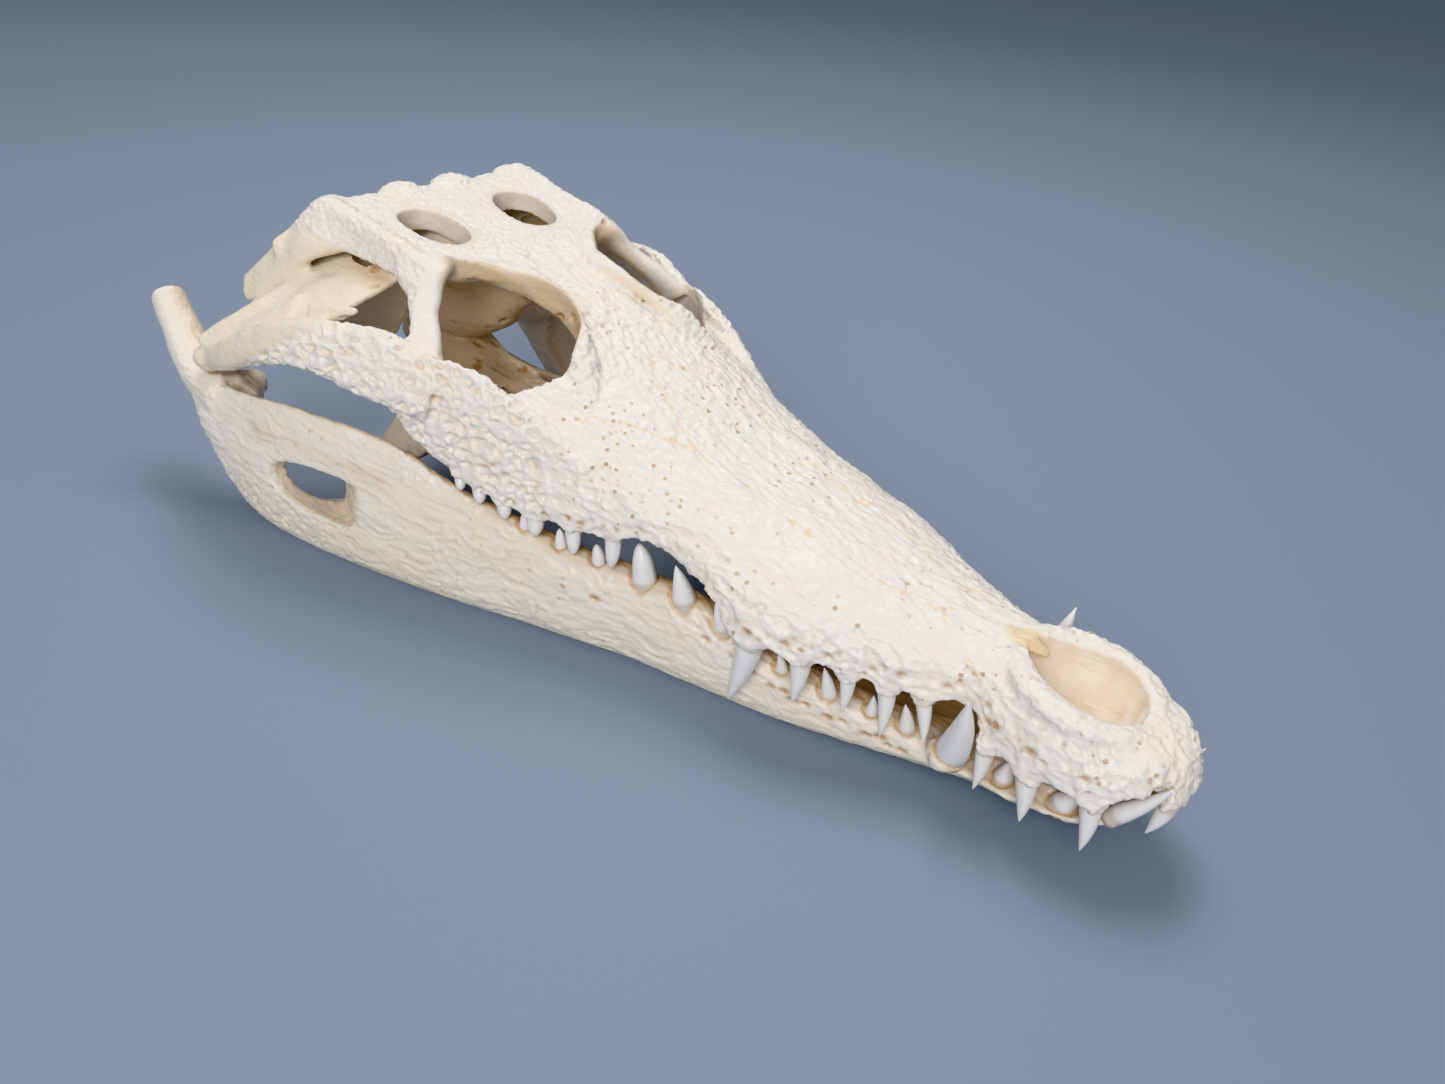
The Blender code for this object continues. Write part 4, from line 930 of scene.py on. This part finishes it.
def carve_cranium(obj):
    """Lumps, then wrinkles, pits, openings and sutures, on the outside of the upper skull."""
    place, normal = read(obj)
    away_from_teeth = ramp(0, 6, place[:, 2] - 24) * 0.6 + 0.4
    moved(obj, place, normal, 0.45 * layered(place, (8.0, 12.0, 8.0), seed=3) * away_from_teeth)
    place, normal = read(obj)
    x, s, z = place.T
    zone = regions(place, normal)
    dorsal = ramp(0.55, 0.85, normal[:, 2])
    calm = zone["face"] * dorsal * ramp(60, 75, s) * ramp(140, 115, s)
    zone["flank"] = zone["face"] * (1 - 0.5 * dorsal)
    zone["back"] = zone["face"] * dorsal * (1 - 0.5 * calm)
    zone["rough"] = zone["face"] * (1 - 0.7 * dorsal)
    drawn = {name: ridges(place, *how) for name, how in UPPER_LINES.items()}
    drawn["lumpy"] = layered(place, (1.6, 2.2, 1.6), seed=14)
    found = {name: cells(place, *how) for name, how in UPPER_CELLS.items()}
    near, after, number = found["nook"]
    drawn["dent"] = ramp(0.5, 0.1, near) * number
    near, after, number = found["small"]
    drawn["dimple"] = ramp(0.55, 0.12, near) * (0.25 + 0.75 * number)
    near, after, number = found["comb"]
    wall = ramp(0.0, 0.4, after - near)
    drawn["bowl"] = wall * limited(1 - (near / 0.75) ** 2) * (0.35 + 0.65 * number)
    pin = ramp(0.3, 0.1, near) * ramp(0.45, 0.6, number) * zone["cheek"]
    near, after, number = found["sparse"]
    opening = ramp(0.21, 0.08, near) * (number > 0.35)
    opening *= ramp(-0.35, 0.25, noise(place / 9.0, seed=53))
    muzzle = zone["tip"] + zone["face"]
    opening *= muzzle + 0.7 * zone["brow"]
    row = holes(place, margin_openings(), long=1.9)
    cave = ramp(0.26, 0.14, found["cave"][0]) * limited(zone["eye"] + zone["ear"] + zone["inner"])
    lift = -0.6 * opening - 1.3 * row * muzzle
    for part, heights in RELIEF.items():
        for name, height in heights.items():
            lift += height * zone[part] * drawn[name]
    lift *= zone["outside"]
    jag = swirled(place, 1.3, 0.9, seed=50)[:, :2]
    seam = np.zeros(len(place))
    for line in SUTURES:
        for corners in (line, [(-a, b) for a, b in line]):
            seam = np.maximum(seam, ramp(0.5, 0.12, near_line(jag, corners)))
    seam *= zone["outside"] * ramp(0.2, 0.5, normal[:, 2]) * ramp(-0.3, 0.2, noise(place / 6.0, seed=51))
    lift -= 0.15 * seam + 1.1 * cave
    lift += zone["smooth"] * (0.1 * layered(place, 4.0, seed=21) + 0.07 * drawn["strand"])
    moved(obj, place, normal, lift)
    patch = 0.5 + 0.5 * layered(place, 7.0, seed=22)
    under = ramp(-0.2, -0.9, normal[:, 2]) * (1 - zone["outside"])
    inner = 0.95 * zone["eye"] + 0.3 * zone["temple"] + 0.85 * zone["ear"] + 0.8 * zone["inner"]
    fold = zone["basin"] * ramp(2.5, 0.5, np.abs(x - 2.0 + 0.3 * (s - 27)))
    spine = ramp(5.0, 2.5, np.hypot(x, (s - 41.5) * 0.7)) * ramp(33, 35, z)
    return marked(
        obj,
        # Real staining together with painted shade: the cavity walls, the undersides and the nostril
        # basin with its fold are painted brown
        stain=limited(inner * (0.45 + 0.4 * patch) + 0.4 * under + 0.3 * zone["basin"] + 0.24 * fold),
        # Painted shade: brown in the small openings and in the deep pits of the cavities
        hole=limited((0.7 * opening + 1.8 * row + 0.4 * pin) * zone["outside"] + cave),
        # Painted shade: tan in the bottoms of pits and grooves, the deeper the darker
        carved=limited(-lift * 0.36) * zone["outside"] * (1 - 0.45 * zone["cheek"]),
        # Real cream tone, with painted shade on the undersides, the cavity walls and the nostril basin
        cream=limited(
            0.1 + 0.65 * zone["smooth"] + 0.3 * inner + 0.4 * under + 0.5 * zone["basin"] + spine
        ),
        seam=limited(seam + 0.5 * spine),
        porous=zone["outside"] * (muzzle + 0.6 * zone["brow"]),
    )


def socket_rims(place, spots):
    """1 in a thin ring round the foot of each lower tooth, on both sides."""
    ring = np.zeros(len(place))
    place = folded(place)
    for base, tip, radius in spots:
        near = np.all(np.abs(place[:, 1:] - base[1:]) < 3 * radius, axis=1)
        base, ahead = np.array(base), np.array(tip) - base
        ahead /= np.linalg.norm(ahead)
        offset = place[near] - base
        along = offset @ ahead
        away = np.linalg.norm(offset - along[:, None] * ahead, axis=1) - radius
        ring[near] = np.maximum(ring[near], ramp(1.1, 0.5, away) * ramp(4.5, 2.0, np.abs(along)))
    return ring


# Patterns on the lower jaw, given as those of the upper skull
JAW_GROOVES = ((7, 1.7, 60), (1.7, 13, 1.6), 15)
JAW_THREADS = ((7, 1.7, 60), (0.9, 5, 0.9), 16)
JAW_DIMPLES = ((4, 0.9, 64), (2.2, 2.9, 2.2), 17)


def carve_jaw(obj):
    """Lengthwise grooves, slit openings, sockets and pits on the lower jaw."""
    place, normal = read(obj)
    clear = ramp(0.5, 3.0, place[:, 2])
    moved(obj, place, normal, 0.4 * layered(place, (7.0, 16.0, 7.0), seed=13) * clear)
    place, normal = read(obj)
    x, s, z = place.T
    side = np.abs(x)
    clear = ramp(0.4, 2.0, z)
    groove, thread = ridges(place, *JAW_GROOVES), ridges(place, *JAW_THREADS)
    near, after, number = cells(place, *JAW_DIMPLES)
    dimple = ramp(0.58, 0.12, near) * (0.3 + 0.7 * number)
    heel = ramp(200, 228, s) * ramp(22, 10, z) * ramp(275, 262, s)
    slots = [(turn * 53.5, 181, 33.5, 0.8) for turn in (-1, 1)]
    for at, drop, share in scattered(46, 10.0, 165.0, 7.0):
        middle, half, low, high = station(RAMUS, at)
        out, radius = middle + half, 0.32 + 0.3 * share
        level = high - station(CHIN_FALL, at)[0] - 2.0 - drop
        slots += [(out, at, level, radius), (-out, at, level, radius)]
    slit = holes(place, slots, long=2.6)
    outside = ramp(-0.1, 0.3, normal[:, 0] * np.sign(x))
    rims = socket_rims(place, lower_spots())
    lift = (0.32 * groove + 0.18 * thread) * ramp(298, 270, s) * (1 - 0.6 * heel)
    lift -= (0.85 * heel * dimple + slit) * outside + 0.6 * rims
    moved(obj, place, normal, lift * clear)
    top = ramp(0.3, 0.8, normal[:, 2]) * ramp(182, 165, s)
    lining = (1 - outside) * ramp(-0.9, -0.3, normal[:, 2]) * (0.35 + 0.4 * ramp(215, 190, s))
    at, middle, half, low, high = np.array(RAMUS).T
    sunk = np.interp(s, at, middle) + np.interp(s, at, half) - side
    window = ramp(1.8, 3.2, sunk) * ramp(192, 198, s) * ramp(248, 240, s)
    window *= ramp(34, 30, z) * ramp(5, 9, z)
    return marked(
        obj,
        # Painted shade: brown on the jaw's top under the upper teeth, its downward inner faces, the
        # socket rims and the window
        stain=limited(0.4 * top + lining + 0.75 * rims + 0.45 * window * outside),
        # Painted shade: brown in the slit openings
        hole=limited(1.4 * slit * outside),
        # Painted shade: tan in the bottoms of grooves, pits and sockets, the deeper the darker
        carved=limited(-lift * 0.45) * clear,
        # Real cream tone, with painted shade on the inner faces that look down
        cream=limited(0.45 + 0.35 * layered(place, (9, 26, 9), seed=19) + 0.3 * lining),
        seam=np.zeros(len(place)),
        porous=outside * 0.4 * clear,
    )


# Colours of the bone and of what lies on it, of the shade painted in its hollows, and of the teeth
PALE = (0.86, 0.81, 0.75, 1)
# Cream tone, also used for painted shade on undersides and in cavities
CREAM_AND_SHADE_TONE = (0.82, 0.71, 0.53, 1)
WARM_PATCH = (0.86, 0.74, 0.55, 1)
GREY_PATCH = (0.80, 0.76, 0.72, 1)
# Painted shade in the bottoms of pits and grooves
GROOVE_SHADE_TAN = (0.78, 0.62, 0.42, 1)
# Real stain together with painted shade in cavities, on undersides and under the upper jaw
STAIN_AND_SHADE_BROWN = (0.60, 0.39, 0.20, 1)
SEAM_AMBER = (0.80, 0.54, 0.24, 1)
PORE_BROWN = (0.54, 0.33, 0.15, 1)
# Painted shade in small openings
HOLE_SHADE_BROWN = (0.44, 0.26, 0.12, 1)
ENAMEL_WHITE = (0.84, 0.81, 0.78, 1)
TOOTH_FOOT = (0.55, 0.42, 0.28, 1)


class Looks:
    """A new material, with short ways to make its nodes and to join them."""

    def __init__(self, name):
        self.material = bpy.data.materials.new(name)
        self.material.use_nodes = True
        self.tree = self.material.node_tree
        self.shader = self.tree.nodes["Principled BSDF"]
        self.place = self.node("TexCoord").outputs["Object"]

    def feed(self, socket, value):
        """The socket joined to an output, or set to a number or colour."""
        if isinstance(value, bpy.types.NodeSocket):
            self.tree.links.new(value, socket)
        else:
            socket.default_value = value

    def fed(self, node, **inputs):
        """The node with its inputs fed by name, an underscore standing for a space."""
        for name, value in inputs.items():
            self.feed(node.inputs[name.replace("_", " ")], value)
        return node

    def node(self, kind, **inputs):
        """A new node of that kind, fed."""
        return self.fed(self.tree.nodes.new("ShaderNode" + kind), **inputs)

    def finished(self, **inputs):
        """The material, its shader fed."""
        self.fed(self.shader, **inputs)
        return self.material

    def mark(self, name):
        """A mark of the vertices."""
        made = self.node("Attribute")
        made.attribute_name = name
        return made.outputs["Fac"]

    def cloud(self, scale, detail, stretch=(1, 1, 1)):
        """Noise in the object's own space."""
        vector = self.node("Mapping", Scale=stretch, Vector=self.place).outputs["Vector"]
        return self.node("TexNoise", Scale=scale, Detail=detail, Vector=vector).outputs["Fac"]

    def between(self, value, low, high):
        """The value stretched so that low becomes 0 and high becomes 1."""
        return self.node("MapRange", Value=value, From_Min=low, From_Max=high).outputs["Result"]

    def times(self, a, b):
        """The product of two values."""
        made = self.node("Math")
        made.operation = "MULTIPLY"
        self.feed(made.inputs[0], a)
        self.feed(made.inputs[1], b)
        return made.outputs["Value"]

    def blend(self, share, under, over):
        """The colour under, covered by the colour over as far as share says."""
        made = self.node("Mix")
        made.data_type = "RGBA"
        return self.fed(made, Factor=share, A=under, B=over).outputs["Result"]


def bone(name):
    """Dry bone, pale to creamy by its marks, with painted shade and real stain in its hollows, grain and
    pores.
    """
    looks = Looks(name)
    mark, cloud, between = looks.mark, looks.cloud, looks.between
    dots = looks.node("TexVoronoi", Scale=420.0, Vector=looks.place)
    red = looks.node("SeparateColor", Color=dots.outputs["Color"]).outputs["Red"]
    pore = between(dots.outputs["Distance"], 0.27, 0.14)
    for share in (between(red, 0.55, 0.6), between(cloud(60.0, 2.0), 0.45, 0.55), mark("porous")):
        pore = looks.times(pore, share)
    # The cream mark mixes real cream tone with painted shade on undersides and in cavities
    colour = looks.blend(mark("cream"), PALE, CREAM_AND_SHADE_TONE)
    for share, strength, tint in (
        (between(cloud(45.0, 4.0), 0.5, 0.75), 0.3, WARM_PATCH),
        (between(cloud(130.0, 6.0), 0.52, 0.8), 0.25, GREY_PATCH),
        # The carved, stain and hole marks paint shade into the hollows; the stain mark also carries real
        # staining
        (mark("carved"), 0.7, GROOVE_SHADE_TAN),
        (mark("stain"), 0.9, STAIN_AND_SHADE_BROWN),
        (mark("seam"), 0.5, SEAM_AMBER),
        (pore, 0.8, PORE_BROWN),
        (mark("hole"), 0.9, HOLE_SHADE_BROWN),
    ):
        colour = looks.blend(looks.times(share, strength), colour, tint)
    fibres = cloud(800.0, 5.0, (1, 0.35, 1))
    grain = looks.node("Bump", Strength=0.8, Distance=0.0003, Height=fibres)
    pits = looks.node("Bump", Strength=0.6, Distance=0.0005, Height=pore, Normal=grain.outputs["Normal"])
    pits.invert = True
    dull = between(cloud(90.0, 4.0), 0.2, 1.4)
    facing = pits.outputs["Normal"]
    return looks.finished(Base_Color=colour, Roughness=dull, Specular_IOR_Level=0.35, Normal=facing)


def enamel():
    """Tooth enamel: milky white, brown at its foot, smooth, with fine lengthwise lines."""
    looks = Looks("enamel")
    lines = looks.cloud(1800.0, 2.0, (1.0, 1.0, 0.08))
    bump = looks.node("Bump", Strength=0.25, Distance=0.0002, Height=lines)
    colour = looks.blend(looks.mark("root"), ENAMEL_WHITE, TOOTH_FOOT)
    return looks.finished(
        Base_Color=colour, Normal=bump.outputs["Normal"], Roughness=0.32,
        Subsurface_Weight=0.08, Subsurface_Scale=0.002,
    )


def fine_tooth(base, tip, radius, seed):
    """A crown with a slight neck, a keel front and back, and fine ridges, bowed toward the tip."""
    base, tip = Vector(base), Vector(tip)
    length = (tip - base).length
    ahead = (tip - base) / length
    across = ahead.cross(Vector((0.0, 1.0, 0.0))).normalized()
    keel = across.cross(ahead)
    bow = Vector((0, -1, 0)) * (TOOTH_BOW * length)
    sides, steps = 40, 26
    blunt = base.y > BLUNT_FROM
    rings, marks = [], []
    for i in range(steps + 1):
        along = -TOOTH_ROOT + (length + TOOTH_ROOT) * (i / steps) ** 0.9
        t = max(0.0, along / length)
        swell = 1.0 + 0.05 * exp(-((t - 0.06) / 0.16) ** 2)
        fall = max(0.02, 1 - t ** 2.6) ** 0.6 if blunt else max(0.02, 1 - t ** 1.6) ** 0.85
        middle = base + ahead * along + bow * sin(pi * min(t, 1))
        ring = []
        for j in range(sides):
            turn = 2 * pi * j / sides
            ridge = 1 + 0.014 * cos(turn * 20 + seed) * (1 - t)
            sharp = 1 + 0.05 * exp(-(sin(turn) / 0.16) ** 2) * (1 - 0.5 * t)
            size = radius * swell * fall * ridge * sharp
            wide, deep = size * 0.94 * sin(turn), size * cos(turn)
            ring.append(tuple(middle + across * wide + keel * deep))
            marks.append(0.6 * exp(-max(0.0, along) / 0.5))
        rings.append(ring)
    return rings, marks


def tooth_row(name, spots):
    """All the teeth of one jaw, both sides, in one mesh with a root mark at each vertex."""
    meshes, marks = [], []
    for side in (1, -1):
        for number, (base, tip, radius) in enumerate(spots):
            rings, near_root = fine_tooth(base, tip, radius, number * 1.7 + side)
            rings = [[(side * x, s, z) for x, s, z in ring] for ring in rings]
            meshes.append(mesh_of(rings))
            marks += near_root
    return marked(joined(name, meshes), root=np.array(marks))


FLOOR_SIZE = 24.0
FLOOR_COLOUR = (0.24, 0.285, 0.365, 1)
SKY_COLOUR = (0.88, 0.93, 1, 1)
SKY_STRENGTH = 0.35

# Lights: name, place and size in metres, power in watts, and the place that they point at
LIGHTS = (
    ("key", (0.30, 0.25, 0.95), 0.5, 5.4),
    ("fill", (-1.1, -0.6, 0.8), 0.8, 14.0),
)
LIT_PLACE = Vector((0, 0, 0.04))


def floor_and_light():
    """A plain pale floor, a large soft light above, and a soft fill."""
    bpy.ops.mesh.primitive_plane_add(size=FLOOR_SIZE, location=(0, 0, 0))
    ground = bpy.context.object
    ground.name = "floor"
    paint = Looks("floor_paint").finished(Base_Color=FLOOR_COLOUR, Roughness=0.7)
    ground.data.materials.append(paint)
    world = bpy.data.worlds.new("studio")
    world.use_nodes = True
    sky = world.node_tree.nodes["Background"]
    sky.inputs["Color"].default_value = SKY_COLOUR
    sky.inputs["Strength"].default_value = SKY_STRENGTH
    bpy.context.scene.world = world
    for name, place, size, power in LIGHTS:
        lamp = bpy.data.lights.new(name, "AREA")
        lamp.size = size
        lamp.energy = power
        holder = linked(name, lamp)
        holder.location = place
        holder.rotation_mode = "QUATERNION"
        holder.rotation_quaternion = (LIT_PLACE - Vector(place)).to_track_quat("-Z", "Y")


# Camera: focal length in pixels of a picture of that width, place in (x, s, z), and angles in radians
FOCAL = 1141.32
PICTURE_WIDTH = 1445.0
CAMERA_PLACE = (-201.3, -27.5, 178.9)
HEADING = radians(-52.41)
HEIGHT = radians(31.77)
ROLL = radians(5.85)


def camera():
    """A camera at the photo's viewing angle."""
    level = cos(HEIGHT)
    back = Vector((sin(HEADING) * level, -cos(HEADING) * level, sin(HEIGHT)))
    right = (-back).cross(Vector((0, 0, 1))).normalized()
    up = right.cross(-back)
    across = right * cos(ROLL) + up * sin(ROLL)
    upward = up * cos(ROLL) - right * sin(ROLL)
    data = bpy.data.cameras.new("camera")
    data.sensor_width = 36.0
    data.lens = FOCAL / PICTURE_WIDTH * data.sensor_width
    data.clip_start = 0.01
    obj = linked("camera", data)
    turned = Matrix((across, upward, back)).transposed().to_4x4()
    obj.matrix_world = Matrix.Translation(point(*CAMERA_PLACE)) @ turned
    bpy.context.scene.camera = obj


UPPER_NODES = (
    "premaxilla", "maxilla", "frontal", "skull_table", "braincase", "palatine", "pterygoid_left",
    "pterygoid_right", "quadrate_left", "quadrate_right", "jugal_left", "jugal_right",
)
LOWER_NODES = (
    "dentary_left", "dentary_right", "angular_left", "angular_right", "articular_left",
    "articular_right",
)


def dressed(obj, material):
    """The piece smooth, in its material, riding on the body."""
    obj.data.materials.clear()
    obj.data.materials.append(material)
    obj.data.shade_smooth()
    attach(obj, "root")
    return obj


def main():
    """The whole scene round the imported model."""
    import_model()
    camera()
    floor_and_light()
    bpy.context.scene.view_settings.view_transform = "Khronos PBR Neutral"
    upper = dressed(carve_cranium(cranium()), bone("upper_bone"))
    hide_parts(*UPPER_NODES)
    lower = boolean(carve_jaw(jaw()), [floor()])
    dressed(lower, bone("lower_bone"))
    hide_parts(*LOWER_NODES)
    white = enamel()
    dressed(tooth_row("upper_teeth", upper_spots()), white)
    dressed(tooth_row("lower_teeth", lower_spots()), white)


main()
